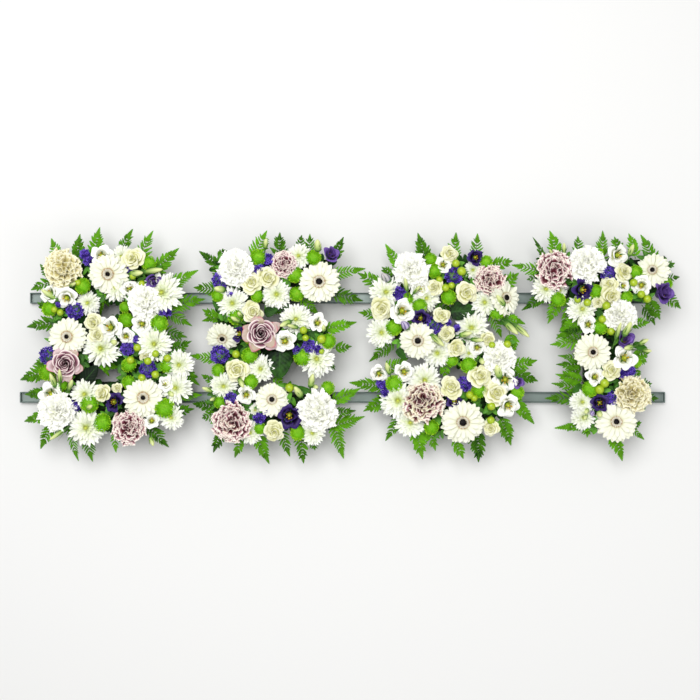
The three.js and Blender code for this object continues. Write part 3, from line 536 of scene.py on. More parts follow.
sprig_green = leaf_finish("sprig_leaf", (24, 70, 12), (104, 176, 40), (120, 180, 70), 0.5, 5)
broad_green = leaf_finish("broad_leaf", (4, 22, 6), (76, 144, 36), (54, 92, 42), 0.5, 6, 0.15)
for letter in LETTER_X:
    rng = np.random.default_rng(20 + ord(letter))
    x0, y0, x1, y1, width, tone = np.array(BROAD_LEAVES[letter]).T
    blades = straps(np.arctan2(y1 - y0, x1 - x0)[:, None], 0, 0, np.hypot(x1 - x0, y1 - y0)[:, None] * 1.04,
                    width[:, None], 0.22, -0.4, 0.1, broad, 9, 15)
    blades[..., 2] += 0.6 * np.sin(np.linspace(0, 9, 15)) * np.abs(np.linspace(-1, 1, 9))[:, None]
    grids = stand(blades, at(letter, x0, y0, 65.0 + 0.1 * width), rng.normal(0, 0.05, (len(x0), 2)))
    blade = np.column_stack([x0 + x1, y0 + y1]) / 2
    roots = np.array([root for root in scattered(SPRIG_SPACING, 9, rng)
                      if over_foam(letter, *root) and np.all(np.hypot(*(blade - root).T) > width * 0.8)])
    size = (len(roots), 3)
    sprigs = straps(rng.uniform(0, 2 * np.pi, (len(roots), 1)) + np.array([-0.9, 0, 0.9]), 1, 0,
                    rng.uniform(12, 19, size), rng.uniform(6, 9, size), rng.uniform(0.1, 0.4, size),
                    -0.5, 0.15, broad, 5, 7)
    centre = at(letter, roots[:, 0], roots[:, 1], rng.uniform(65, 70, len(roots)))
    sprigs = stand(sprigs, centre, rng.normal(0, 0.1, (len(roots), 2)))
    adopt(piece(f"{letter}_broad_leaves", [(grids, tone[:, None], 0), (sprigs, rng.random(size) ** 1.7, 1)],
                [broad_green, sprig_green]), "greenery", f"{letter}_greenery")


# Mini gerberas: cream-white daisies on bare stems, two whorls of blunt rays and a short inner
# one, round a dark brown eye in a beige ring. Given as their CAD nodes, the eye's and ring's
# shares of the radius, and then x, y, radius, and lean and lift where they show.
GERBERAS = {
    "b": (["white_top", "white_waist", "white_foot"], (0.1, 0.3), [
        (-7, 120, 35), (-76, 12, 34), (52, -91, 35)]),
    "e": (["white_right", "gerbera", "white_lower"], (0.14, 0.25), [
        (70, 105, 37), (-95, 13, 29, 0.0, -0.5, -2), (-11, -96, 30, -0.1, 0.1, -3)]),
    "s": (["white_right", "white_middle", "gerbera"], (0.15, 0.26), [
        (97, 78, 31, 0.65, 0.1, -2), (-48, 6, 33), (27, -133, 38)]),
    "t": (["white_right", "white_stem", "white_foot"], (0.12, 0.23), [
        (78, 125, 30, -0.4, 0.15, -1), (-27, -13, 33), (14, -134, 36, -0.2, 0.2)]),
}
GERBERA_FOOT = 71
GERBERA_WHORLS = ((23, 1.0, 0.25, 0.18, 0.06, 0.0, 0.35), (22, 0.95, 0.23, 0.23, 0.12, 0.5, 0.2),
                  (15, 0.76, 0.18, 0.28, 0.18, 0.2, 0.05))
GERBERA_TUFTS = ((38, 0.75, 0.45), (34, 0.4, 0.75), (28, 0.1, 1.05))
GERBERA_FLORETS = 70
GOLDEN_ANGLE = np.pi * (3 - np.sqrt(5))
STEM_END = 40
STEM_BEND = 63.0
STEM_FROM_EDGE = 6


def golden(count, first=0.5):
    """Places spread evenly over a disc of radius 1: azimuths, and distances from its middle."""
    step = np.arange(count)
    return step * GOLDEN_ANGLE, np.sqrt((step + first) / count)


def whorl(size, rng, turn=0.0, loose=0.04):
    """Azimuths, (flowers, petals), evenly round each flower, a little uneven."""
    even = (np.arange(size[1]) + turn) / size[1] * 2 * np.pi
    return even + rng.normal(0, loose, size) + rng.uniform(0, 0.3, (size[0], 1))


def revolved(profile, around=13):
    """A surface of revolution, (1, around, along, 3), from (radius, height) points that lead
    upwards, or from its top outwards and down. It faces outwards."""
    r, z = np.array(profile, float).T
    angle = np.linspace(0, 2 * np.pi * np.sign(z[-1] - z[0]), around)[:, None]
    return np.stack([r * np.cos(angle), r * np.sin(angle), z + 0 * angle], axis=-1)[None]


def stalks(letter, centre, lean, thickness, around=7):
    """Stems in metres: level rings along a curve from each bloom's foot down to the foam, under
    it or at its nearest edge, and 20 mm into it."""
    roots = []
    for x, y, z in centre:
        if not over_foam(letter, x - LETTER_X[letter], y - LETTER_Y):
            near = foam_tree[letter].find_nearest(Vector((x / 1000, y / 1000, 0.05)))[0]
            step = np.array([near.x * 1000 - x, near.y * 1000 - y])
            x, y = np.array([x, y]) + step * (1 + STEM_FROM_EDGE / (1 + np.hypot(*step)))
        roots.append((x, y, STEM_END))
    v = np.linspace(0, 1, 6)[:, None]
    top = centre[:, None] + np.column_stack([lean, np.full(len(lean), 1)])[:, None] * 2
    bottom = np.array(roots)[:, None]
    bend = bottom * 0.6 + top * 0.4
    bend[..., 2] = STEM_BEND
    path = bottom * (1 - v) ** 2 + bend * 2 * v * (1 - v) + top * v ** 2
    angle = np.linspace(0, 2 * np.pi, around)
    ring = np.stack([np.cos(angle), np.sin(angle), 0 * angle], axis=-1)
    return (path[:, None, None] + thickness * ring[:, None]) / 1000


class Bunch:
    """One letter's blooms of a kind, read as (x, y, radius[, lean x, lean y, lift])."""

    def __init__(self, letter, seed, readings, foot, tip=0.07):
        self.letter = letter
        self.rng = np.random.default_rng(seed + ord(letter))
        full = np.array([(*reading, 0, 0, 0)[:6] for reading in readings], float)
        self.flowers = len(full)
        self.centre = at(letter, full[:, 0], full[:, 1], foot + full[:, 5])
        self.radius = full[:, 2:3]
        self.lean = full[:, 3:5] + self.rng.normal(0, tip, (self.flowers, 2))
        self.patches = []

    def add(self, shape, tone, number=0):
        """Adds shapes in the blooms' own frames, in shares of each one's radius."""
        shape = shape * self.radius[:, :, None, None, None]
        self.patches.append((stand(shape, self.centre, self.lean), tone, number))

    def place(self, name, slot, materials, nodes=("greenery",), thickness=1.9):
        """Adds the stems, whose green is material -1, and adopts all of it as one piece."""
        self.patches.append((stalks(self.letter, self.centre, self.lean, thickness), 0.5, -1))
        adopt(piece(f"{self.letter}_{name}", self.patches, [*materials, stem_green]), slot,
              *(f"{self.letter}_{node}" for node in nodes))


def petal_finish(name, root, middle, tip, shade, roughness=0.55, veins=9, relief=0.0002, root_end=0.5,
                 tip_start=0.5, rim=None):
    """Petals coloured from root through middle to tip, towards shade by their own tone and a
    mottle, with fine lengthwise veins in colour and relief, and a thin uneven rim if given."""
    material, s, shader = finish(name, roughness, {"Specular IOR Level": 0.3})
    across, along, tone = s.petal()
    lines = across.wave(veins)
    petal = along.step(tip_start, 1.0).blend(along.step(0.0, root_end).blend(root, middle), tip)
    shading = tone + (s.noise(120) - 0.5) * 0.5 - lines * 0.07
    colour = shading.step(0.0, 1.1).blend(petal, shade)
    if rim:
        colour = (along + (s.noise(90) - 0.5) * 0.2).step(0.95, 1.04).blend(colour, rim)
    colour.feed(shader["Base Color"])
    (lines * 0.5 + s.noise(500) * 0.8).bump(relief).feed(shader["Normal"])
    return material


def blunt(v):
    """A ray's width: narrow at the root, widest past the middle, with a round end."""
    end = np.clip((v - 0.74) / 0.26, 0, 1) ** 2.4
    return (0.58 + 0.42 * np.minimum(v / 0.55, 1)) * np.sqrt(np.clip(1.04 - end, 0, 1))


stem_green = leaf_finish("stem", (44, 84, 28), (96, 140, 58), (96, 140, 58), 0.5, 1)
gerbera_white = petal_finish("gerbera_petal", (214, 213, 170), (239, 240, 219), (245, 246, 231),
                             (207, 208, 168), veins=3)
gerbera_ring = petal_finish("gerbera_ring", (236, 224, 184), (248, 243, 222), (251, 249, 238),
                            (204, 176, 132))
gerbera_eye = petal_finish("gerbera_eye", (8, 6, 8), (24, 14, 15), (56, 38, 34), (10, 8, 9), relief=0.0001)
gerbera_cushion = petal_finish("gerbera_cushion", (248, 234, 190), (250, 240, 200), (230, 208, 156),
                               (236, 220, 172))
for letter, (nodes, (eye, ring), readings) in GERBERAS.items():
    bunch = Bunch(letter, 30, readings, GERBERA_FOOT)
    rng = bunch.rng
    for count, reach, width, level, climb, turn, shade in GERBERA_WHORLS:
        size = (bunch.flowers, count)
        rays = straps(whorl(size, rng, turn), 0.18, level + rng.normal(0, 0.4, size) / bunch.radius,
                      (reach - 0.18) * rng.uniform(0.93, 1.03, size), width, rng.normal(climb, 0.05, size),
                      rng.normal(-0.3, 0.1, size), rng.normal(0.05, 0.09, size), blunt)
        bunch.add(rays, shade + rng.uniform(-0.1, 0.1, size))
    for count, share, climb in GERBERA_TUFTS:
        size = (bunch.flowers, count)
        tufts = straps(whorl(size, rng, share * 9), eye + (ring - eye) * share * 0.8, 0.32,
                       0.11 * rng.uniform(0.75, 1.15, size), 0.05, rng.normal(climb, 0.15, size), -0.7, 0.2,
                       pointed, 3, 5)
        bunch.add(tufts, rng.random(size) * 0.2 + 0.9 * (share > 0.5), 1)
    azimuth, spread = golden(GERBERA_FLORETS)
    florets = straps(azimuth, spread * eye, 0.335 * (1.06 - 0.1 * spread), 0.05, 0.32 * eye,
                     1.3 - 0.5 * spread, 0.2, 0.2, pointed, 3, 4)
    bunch.add(florets, rng.random((bunch.flowers, GERBERA_FLORETS)), 2)
    bunch.add(revolved([(0, 0.355), (eye * 0.6, 0.35), (eye, 0.335), (eye * 1.05, 0.3)]), 0.4, 2)
    bunch.add(revolved([(0, 0.3), (eye, 0.32), (eye * 1.2, 0.315), (ring, 0.28), (ring + 0.02, 0.2)]), 0.2, 3)
    bunch.add(revolved([(0.05, -0.02), (0.12, 0.02), (0.2, 0.1), (0.24, 0.2), (0.2, 0.27)]), 0.5, -1)
    bunch.place("gerberas", "white_petals", [gerbera_white, gerbera_ring, gerbera_eye, gerbera_cushion],
                nodes, 2.2)


# Spray chrysanthemums: white, many-layered daisies whose whorls stand steeper towards a small
# yellow-green middle. Given as nodes, and x, y, radius. A whorl is its count of petals, their
# reach, climb and width, and depth from 0 at the outside to 1.
CHRYSANTHEMUMS = {
    "b": (["white_top", "white_left", "white_waist", "white_right", "white_foot", "white_corner"], [
        (5, 98, 27), (15, 150, 20), (85, 87, 36), (-43, 70, 21), (-19, -7, 33), (70, 0, 32), (112, -35, 26),
        (108, -75, 28), (100, -125, 22), (-48, -86, 27), (-45, -142, 33)]),
    "e": (["white_corner", "white_right", "white_middle", "chrysanthemum", "white_lower", "white_foot"], [
        (35, 150, 22), (-3, 85, 27), (-78, 70, 28), (30, 42, 27), (-30, -42, 24), (65, -25, 32, 0, 0, -4),
        (-94, -71, 25), (-40, -113, 12), (-48, -150, 22), (58, -152, 22)]),
    "s": (["white_upper", "white_right", "white_middle", "white_end", "white_lower"], [
        (45, 127, 16), (65, 71, 25), (-36, 80, 26), (-104, 88, 28), (-112, 20, 26), (43, 28, 30, 0, 0, -3),
        (-15, -15, 26), (38, -16, 16), (-82, -96, 33), (-38, -62, 30), (-62, -135, 26)]),
    "t": (["white_left", "white_stem", "white_foot"], [
        (-106, 94, 24), (-81, 92, 13), (-44, 60, 26), (-44, -100, 22), (-42, -125, 22)]),
}
CHRYSANTHEMUM_FOOT = 66
CHRYSANTHEMUM_WHORLS = ((25, 1.08, 0.0, 0.21, 0.0), (26, 1.02, 0.09, 0.2, 0.15), (24, 0.9, 0.18, 0.19, 0.3),
                        (22, 0.76, 0.3, 0.17, 0.45), (18, 0.6, 0.44, 0.15, 0.6), (14, 0.44, 0.62, 0.12, 0.8),
                        (11, 0.28, 0.85, 0.09, 1.0))
CHRYSANTHEMUM_FLORETS = 36


def spoon(v):
    """A petal's width: nearly even, a little wider before its short blunt point."""
    end = np.clip((v - 0.68) / 0.32, 0, 1) ** 1.7
    return (0.55 + 0.45 * np.minimum(v / 0.7, 1)) * np.sqrt(np.clip(1.03 - end, 0, 1))


chrysanthemum_white = petal_finish("chrysanthemum_petal", (206, 222, 100), (238, 242, 220), (250, 251, 247),
                                   (212, 226, 136), veins=2, root_end=0.42)
chrysanthemum_eye = petal_finish("chrysanthemum_eye", (218, 231, 78), (235, 243, 126), (248, 250, 182),
                                 (228, 238, 112))
for letter, (nodes, readings) in CHRYSANTHEMUMS.items():
    bunch = Bunch(letter, 40, readings, CHRYSANTHEMUM_FOOT)
    rng = bunch.rng
    for count, reach, climb, width, depth in CHRYSANTHEMUM_WHORLS:
        size = (bunch.flowers, count)
        petals = straps(whorl(size, rng, 3 * depth, 0.1), 0.06, 0.12 + 0.14 * depth,
                        (reach - 0.06) * rng.uniform(0.86, 1.03, size), width, rng.normal(climb, 0.08, size),
                        rng.normal(-0.1 - 0.2 * climb, 0.2, size), rng.normal(0.24, 0.08, size), spoon, 3, 6)
        bunch.add(petals, 0.06 + 0.6 * depth ** 3 + rng.uniform(-0.06, 0.18, size))
    azimuth, spread = golden(CHRYSANTHEMUM_FLORETS)
    florets = straps(azimuth, spread * 0.08, 0.36, 0.09, 0.07, 1.0 - 0.6 * spread, 0.5, 0.3, spoon, 3, 4)
    bunch.add(florets, rng.random((bunch.flowers, CHRYSANTHEMUM_FLORETS)), 1)
    bunch.add(revolved([(0.05, -0.02), (0.14, 0.04), (0.17, 0.12), (0.13, 0.3)]), 0.5, -1)
    bunch.add(revolved([(0, 0.4), (0.06, 0.385), (0.1, 0.34), (0.1, 0.27)]), 0.2, 1)
    bunch.place("chrysanthemums", "white_petals", [chrysanthemum_white, chrysanthemum_eye], nodes)


# Carnations: domes of ruffled petals with pinked edges, out of a green calyx. Half are white,
# half dusty mauve and cream. Given as x, y, radius, the white ones with their nodes, and the
# mauve ones with 0 for wine to 1 for cream.
WHITE_CARNATIONS = {
    "b": (["white_top", "white_corner"], [(55, 72, 32), (-95, -115, 34)]),
    "e": (["white_corner", "white_foot"], [(-72, 130, 33), (68, -113, 37)]),
    "s": (["white_upper", "white_end"], [(-60, 126, 32), (90, -24, 29)]),
    "t": (["carnation_left", "carnation_stem"], [(-36, 135, 33), (20, 48, 30)]),
}
MAUVE_CARNATIONS = {
    "b": ([(-85, 128, 34), (28, -142, 31)], [1, 0]), "e": ([(10, 136, 24), (-78, -132, 36)], [0, 0.1]),
    "s": ([(74, 109, 28), (-40, -99, 38)], [0.2, 0.35]), "t": ([(-91, 126, 34), (41, -86, 33)], [0, 1]),
}
CARNATION_FOOT = 69
CARNATION_PETALS = 50


def ruffles(flowers, rng, across=17, along=8):
    """A carnation's petals, (flowers, petals, across, along, 3), in shares of its radius.

    Petal i stands on a dome at the golden angle times i, at a share rho of its radius that is
    a power of its share of the count, turned by a yaw that is wider in the middle. It climbs
    steeply in the middle and lies out at the rim, curls outwards, and widens like a fan. Its
    sheet is folded by two sines of u, a quick and a slow one, that grow towards the edge,
    whose every other point is drawn in.
    """
    size = (flowers, CARNATION_PETALS)
    rho = ((np.arange(CARNATION_PETALS) + 0.2) / CARNATION_PETALS) ** 0.62 * rng.uniform(0.9, 1.06, size)
    azimuth = np.arange(CARNATION_PETALS) * GOLDEN_ANGLE + rng.normal(0, 0.2, size)
    yaw = rng.normal(0, 1, size) * (0.4 + 2.2 * np.clip(1 - rho, 0, 1) ** 3)
    waves = rng.uniform(4.5, 7, size)
    phase = rng.uniform(0, 2 * np.pi, (2, *size))[..., None, None]
    rho, azimuth, yaw, waves = (value[..., None, None] for value in (rho, azimuth, yaw, waves))
    u = np.linspace(-1, 1, across)[:, None]
    v = np.linspace(0, 1, along)[None, :]
    length = (0.46 + 0.05 * rho) * (1 - 0.07 * (np.arange(across) % 2)[:, None] * v ** 4)
    climb = 1.55 - 0.8 * rho - (0.15 + 0.4 * rho) * v
    fold = v ** 1.3 * (0.085 * np.sin(waves * u + phase[0]) + 0.04 * np.sin(0.4 * waves * u + phase[1]))
    out = length * v * np.cos(climb) - fold * np.sin(climb)
    up = 0.1 + 0.16 * (1 - rho ** 2) + length * v * np.sin(climb) + fold * np.cos(climb)
    side = (0.06 + 0.34 * v ** 0.8) * u
    x = 0.53 * rho + out * np.cos(yaw) - side * np.sin(yaw)
    y = out * np.sin(yaw) + side * np.cos(yaw)
    return np.stack([x * np.cos(azimuth) + y * np.sin(azimuth),
                     x * np.sin(azimuth) - y * np.cos(azimuth), up], axis=-1)


def carnations(letter, name, readings, tones, material, slot, nodes):
    """One letter's carnations of a kind, each a dome of petals on a core, a calyx and a stem."""
    bunch = Bunch(letter, 55, readings, CARNATION_FOOT)
    petals = ruffles(bunch.flowers, bunch.rng)
    tone = np.array(tones)[:, None] * 0.7 + bunch.rng.uniform(0, 0.3, petals.shape[:2])
    bunch.add(petals, tone)
    bunch.add(revolved([(0, 0.36), (0.2, 0.35), (0.4, 0.3), (0.56, 0.2), (0.5, 0.12), (0.1, 0.06)]),
              tone[:, :1])
    bunch.add(revolved([(0.05, -0.03), (0.13, 0.02), (0.17, 0.12), (0.1, 0.2)]), 0.6, -1)
    bunch.place(name, slot, [material], nodes)


carnation_white = petal_finish("carnation_white", (246, 247, 222), (250, 251, 240), (253, 253, 249),
                               (246, 247, 230), veins=5)
carnation_mauve, s, shader = finish("carnation_mauve", 0.55, {"Sheen Weight": 0.15, "Sheen Roughness": 0.5})
across, along, tone = s.petal()
cream_share = tone.step(0.2, 0.65)
mottle = (s.noise(260, 4) - 0.5) * 0.5
# The lower part of each petal is dark wine, or beige in the cream blooms: partly the flower's own colour,
# partly painted shade in the deep gaps between the steep petals.
deep_colour_and_shade = tone.step(0.62, 0.8).blend((88, 6, 26), (206, 196, 134))
body = cream_share.blend((216, 166, 176), (230, 224, 176))
rim = cream_share.blend((252, 244, 232), (249, 245, 216))
petal = (along + mottle * 0.7).step(0.62, 0.9).blend(deep_colour_and_shade, body)
petal = (along + mottle * 0.4).step(0.8, 0.93).blend(petal, rim)
flecks = (s.noise(420, 2) - 0.1 * across.wave(4)).step(0.6, 0.72) * (0.5 - 0.2 * cream_share)
flecks.blend(petal, (160, 78, 110)).feed(shader["Base Color"])
(across.wave(6) * 0.5 + s.noise(500)).bump(0.0002).feed(shader["Normal"])
for letter in LETTER_X:
    nodes, readings = WHITE_CARNATIONS[letter]
    carnations(letter, "white_carnations", readings, [0.2] * len(readings), carnation_white,
               "white_petals", nodes)
    readings, tones = MAUVE_CARNATIONS[letter]
    carnations(letter, "mauve_carnations", readings, tones, carnation_mauve, "mauve_petals",
               ["carnation_top", "carnation_foot"])


# Roses: one large dusty mauve rose in the B and one in the E, whorled to a high middle inside
# paler pointed guard petals with a thin pink rim, and small cream spray roses. Given as x, y,
# radius, the cream ones with their nodes. Petals come in rings, as cups() takes them.
MAUVE_ROSES = {"b": [(-81, -34, 29)], "e": [(-30, 16, 31)]}
CREAM_ROSES = {
    "b": (["cream_upper", "cream_lower"], [
        (37, 145, 18), (-32, 38, 16), (-27, 15, 15), (55, -18, 10), (-15, -85, 15), (8, -75, 9)]),
    "e": (["cream"], [(-18, 112, 18), (-46, 105, 17), (-45, 54, 18), (-69, -43, 20), (-6, -147, 17)]),
    "s": (["cream"], [
        (3, 153, 14), (32, 86, 18), (-20, 97, 14), (-112, 62, 18), (-10, 46, 15), (1, 18, 13), (15, -7, 15),
        (70, 9, 12), (56, -56, 19), (7, -75, 18), (83, -85, 20), (77, -143, 14)]),
    "t": (["cream"], [(-17, 71, 10), (24, 120, 16), (3, 82, 18), (5, -45, 16), (3, 101, 14)]),
}
ROSE_FOOT = 69
SPRAY_ROSE_FOOT = 70
ROSE_HEART = ((2, 0.07, 0.88, 1.4, 0.03, 0.0, 0.0), (3, 0.17, 0.88, 1.1, 0.04, 0.01, 0.02),
              (3, 0.28, 0.85, 1.05, 0.06, 0.01, 0.03), (4, 0.39, 0.81, 0.88, 0.07, 0.02, 0.04),
              (4, 0.51, 0.75, 0.86, 0.09, 0.02, 0.05), (5, 0.62, 0.67, 0.74, 0.12, 0.02, 0.07))
ROSE_GUARD = ((5, 0.57, 0.64, 0.64, 0.26, 0.045, 0.2), (5, 0.63, 0.52, 0.56, 0.26, 0.05, 0.24))
SPRAY_ROSE = ((2, 0.07, 1.0, 1.4, 0.04, 0.01, 0.02), (3, 0.17, 0.98, 1.05, 0.06, 0.02, 0.03),
              (4, 0.3, 0.93, 0.9, 0.09, 0.03, 0.04), (5, 0.44, 0.84, 0.8, 0.13, 0.03, 0.05),
              (5, 0.6, 0.72, 0.85, 0.2, 0.04, 0.07), (6, 0.78, 0.5, 0.75, 0.26, 0.05, 0.08))


def cups(flowers, rng, rings, loose=0.1, across=11, along=8, bowl=0.9):
    """Cupped petals in rings round each flower's axis, (flowers, petals, across, along, 3).

    Each ring is (count, r, h, spread, flare, frill, point), in shares of the flower's radius.
    A petal spans spread radians to each side, and v ends lower towards its corners. It rises
    to h by a quarter of a sine of v to the power bowl, and out to r, with one edge tucked
    inside its neighbour's, rolls outwards past it by flare times the fourth power of v, more
    at its middle by point, and frills by frill along the rim.
    """
    azimuth = np.concatenate([(np.arange(ring[0]) / ring[0] + 0.37 * k) * 2 * np.pi
                              for k, ring in enumerate(rings)])
    azimuth = azimuth + rng.normal(0, loose, (flowers, len(azimuth))) + rng.uniform(0, 6, (flowers, 1))
    azimuth = azimuth[..., None, None]
    each = np.repeat(np.array(rings, float), [ring[0] for ring in rings], axis=0)
    _, r, h, spread, flare, frill, point = each.T[..., None, None]
    h = h * (1 + rng.normal(0, 0.5 * loose, azimuth.shape))
    r = r * (1 + rng.normal(0, 0.4 * loose, azimuth.shape))
    phase = rng.uniform(0, 2 * np.pi, azimuth.shape)
    u = np.linspace(-1, 1, across)[:, None]
    v = np.linspace(0, 1, along)[None, :] * (1 - 0.3 * u ** 4)
    radial = (r * (0.3 + 0.7 * np.sin(np.pi / 2 * v ** 0.8)) + flare * v ** 4 * (1 - 0.3 * u ** 2)
              + 0.04 * u * v + point * v ** 4 * (1 - abs(u)) + frill * v ** 3 * np.sin(5 * u + phase))
    up = (h * np.sin(np.pi / 2 * v ** bowl) * (1 - 0.06 * u ** 4) - 0.6 * flare * v ** 5
          + frill * v ** 3 * np.cos(4 * u + phase))
    angle = azimuth - u * spread
    return np.stack([radial * np.cos(angle), radial * np.sin(angle), up], axis=-1)


# The heart's petals are near black from the root up to 0.74 of their length: painted shade in the deep gaps
# between them. The guard petals' dark brown root is partly their own colour, partly painted shade beside the
# heart.
rose_mauve = petal_finish("rose_mauve", (22, 4, 12), (132, 80, 98), (248, 234, 228), (160, 108, 122),
                          veins=6, root_end=0.74, tip_start=0.74)
rose_guard = petal_finish("rose_guard", (78, 52, 50), (158, 122, 128), (224, 202, 206), (186, 168, 146),
                          veins=6, root_end=0.8, tip_start=0.74, rim=(208, 84, 112))
rose_cream = petal_finish("rose_cream", (172, 176, 76), (216, 215, 152), (243, 242, 216), (212, 212, 146),
                          veins=5)
for letter, readings in MAUVE_ROSES.items():
    bunch = Bunch(letter, 60, readings, ROSE_FOOT)
    heart = cups(bunch.flowers, bunch.rng, ROSE_HEART, 0.1, 15, 9)
    guard = cups(bunch.flowers, bunch.rng, ROSE_GUARD, 0.15, 17, 12)
    bunch.add(heart, bunch.rng.random(heart.shape[:2]) * 0.4)
    bunch.add(guard, bunch.rng.random(guard.shape[:2]), 1)
    bunch.add(revolved([(0.05, -0.05), (0.12, 0), (0.22, 0.1), (0.3, 0.22), (0.2, 0.3)]), 0.5, -1)
    bunch.place("mauve_rose", "mauve_petals", [rose_mauve, rose_guard], ["rose"], 2.3)
for letter, (nodes, readings) in CREAM_ROSES.items():
    bunch = Bunch(letter, 70, readings, SPRAY_ROSE_FOOT, 0.18)
    heart = cups(bunch.flowers, bunch.rng, SPRAY_ROSE, 0.24, 9, 7)
    bunch.add(heart, bunch.rng.random(heart.shape[:2]) * 0.6)
    bunch.add(revolved([(0, 0.74), (0.14, 0.72), (0.3, 0.62), (0.46, 0.46), (0.6, 0.22), (0.3, 0.1)]), 0.6)
    bunch.add(revolved([(0.06, -0.1), (0.16, 0), (0.3, 0.14), (0.36, 0.3), (0.2, 0.4)]), 0.5, -1)
    bunch.place("cream_roses", "cream_petals", [rose_cream], nodes, 1.5)


# Lisianthus: silky cups of wide overlapping petals, white and deep violet, wide open round a
# yellow-green pistil and yellow anthers, and some violet ones still furled. Given as nodes, and
# x, y, radius, and lean and lift where they show.
WHITE_LISIANTHUS = {
    "b": (["white_top", "white_left", "white_waist", "white_right", "white_foot", "white_corner"], [
        (-20, 150, 20), (28, 93, 16), (-78, 80, 20), (-105, 85, 18), (-3, 28, 22), (22, 14, 15),
        (50, 35, 18), (90, -68, 14), (66, -132, 15), (-105, -85, 22)]),
    "e": (["white_middle", "white_lower"], [(12, 5, 19), (66, 35, 17), (-55, -86, 17)]),
    "s": (["white_upper", "white_end", "white_lower"], [
        (-44, 94, 18), (-6, 135, 15), (-77, 56, 23), (52, -5, 15), (100, -60, 22), (103, -102, 22),
        (-73, -47, 18), (-116, -49, 16), (85, -49, 12)]),
    "t": (["white_right", "white_stem"], [
        (14, 152, 20), (58, 101, 18), (24, 99, 14), (-34, 33, 15), (27, -25, 22), (-23, -57, 17)]),
}
VIOLET_LISIANTHUS = {
    "b": (["violet"], [(3, -100, 18)]),
    "e": (["violet"], [(-65, 15, 16, -0.3, 0.1, 2), (19, -121, 21)]),
    "s": (["violet_top", "violet_foot"], [(47, 148, 15), (-43, 45, 15), (11, -98, 15)]),
    "t": (["violet_left"], [(-47, 93, 21), (-14, -100, 16)]),
}
VIOLET_FURLED = {
    "b": (["violet"], [(66, 112, 17, 0.3, -0.5, -2)]),
    "e": (["violet"], [(87, 148, 17, 0.5, 0.3, -2)]),
    "s": (["violet_foot"], [(117, -64, 13, 0.6, 0.2, -2)]),
    "t": (["violet_right"], [(86, 84, 25, 0.5, 0.3, -4), (27, 6, 18, 0.3, 0.2, -3)]),
}
LISIANTHUS_FOOT = 70
WHITE_CUP = ((4, 0.46, 0.64, 0.9, 0.2, 0.03, 0.0), (5, 0.62, 0.56, 0.78, 0.38, 0.06, 0.0))
VIOLET_CUP = ((3, 0.34, 0.8, 1.0, 0.14, 0.06, 0.0), (5, 0.56, 0.66, 0.8, 0.36, 0.09, 0.06))
FURLED_CUP = ((2, 0.08, 1.15, 1.9, 0.0, 0.02, 0.0), (3, 0.2, 1.15, 1.4, 0.03, 0.04, 0.03),
              (3, 0.38, 1.05, 1.3, 0.1, 0.06, 0.08), (3, 0.56, 0.86, 1.15, 0.2, 0.08, 0.16))


def lisianthus(letter, colour, nodes, readings, rings, light, material, slot):
    """One letter's lisianthus of a colour: cups with tones up to light, pistil with its
    two-lobed stigma, anthers on fine threads, calyx and stem."""
    bunch = Bunch(letter, 80 + len(colour), readings, LISIANTHUS_FOOT, 0.16)
    rng = bunch.rng
    cup = cups(bunch.flowers, rng, rings, 0.2, 13, 9, 1.5)
    anthers = straps(whorl((bunch.flowers, 9), rng, 0, 0.3), 0.12, 0.15, 0.4, 0.14, 1.15, -0.1, 0.3,
                     lambda v: np.where(v < 0.72, 0.25, 1.0) * np.sqrt(1.02 - v ** 6), 3, 6)
    sepals = straps(whorl((bunch.flowers, 5), rng), 0.16, 0.02, 0.75, 0.12, 0.75, 0.5, 0.2, pointed, 3, 5)
    bunch.add(cup, light * rng.uniform(0.5, 1, cup.shape[:2]))
    bunch.add(revolved([(0.06, 0.05), (0.16, 0.12), (0.19, 0.26), (0.1, 0.38), (0.07, 0.44), (0.12, 0.48),
                        (0, 0.52)]), 0.6, 1)
    bunch.add(anthers, 0.4, 2)
    bunch.add(revolved([(0.06, -0.1), (0.16, 0), (0.24, 0.12), (0.2, 0.24)]), 0.6, -1)
    bunch.add(sepals, 0.7, -1)
    bunch.place(f"{colour}_lisianthus", slot, [material, pistil_green, anther_yellow], nodes, 1.5)


lisianthus_white = petal_finish("lisianthus_white", (222, 230, 130), (247, 248, 236), (251, 251, 247),
                                (240, 242, 222), veins=7)
lisianthus_violet = petal_finish("lisianthus_violet", (5, 1, 10), (18, 4, 40), (46, 20, 100),
                                 (124, 92, 176), 0.5, veins=7)
pistil_green = petal_finish("pistil", (150, 180, 40), (186, 206, 60), (236, 226, 70), (150, 176, 40))
anther_yellow = petal_finish("anther", (200, 200, 110), (236, 206, 50), (246, 208, 36), (224, 160, 30))
for letter in LETTER_X:
    for colour, row, rings, light, material, slot in (
            ("white", WHITE_LISIANTHUS, WHITE_CUP, 0.35, lisianthus_white, "white_petals"),
            ("violet", VIOLET_LISIANTHUS, VIOLET_CUP, 0.1, lisianthus_violet, "violet_petals"),
            ("furled_violet", VIOLET_FURLED, FURLED_CUP, 0.95, lisianthus_violet, "violet_petals")):
        lisianthus(letter, colour, *row[letter], rings, light, material, slot)


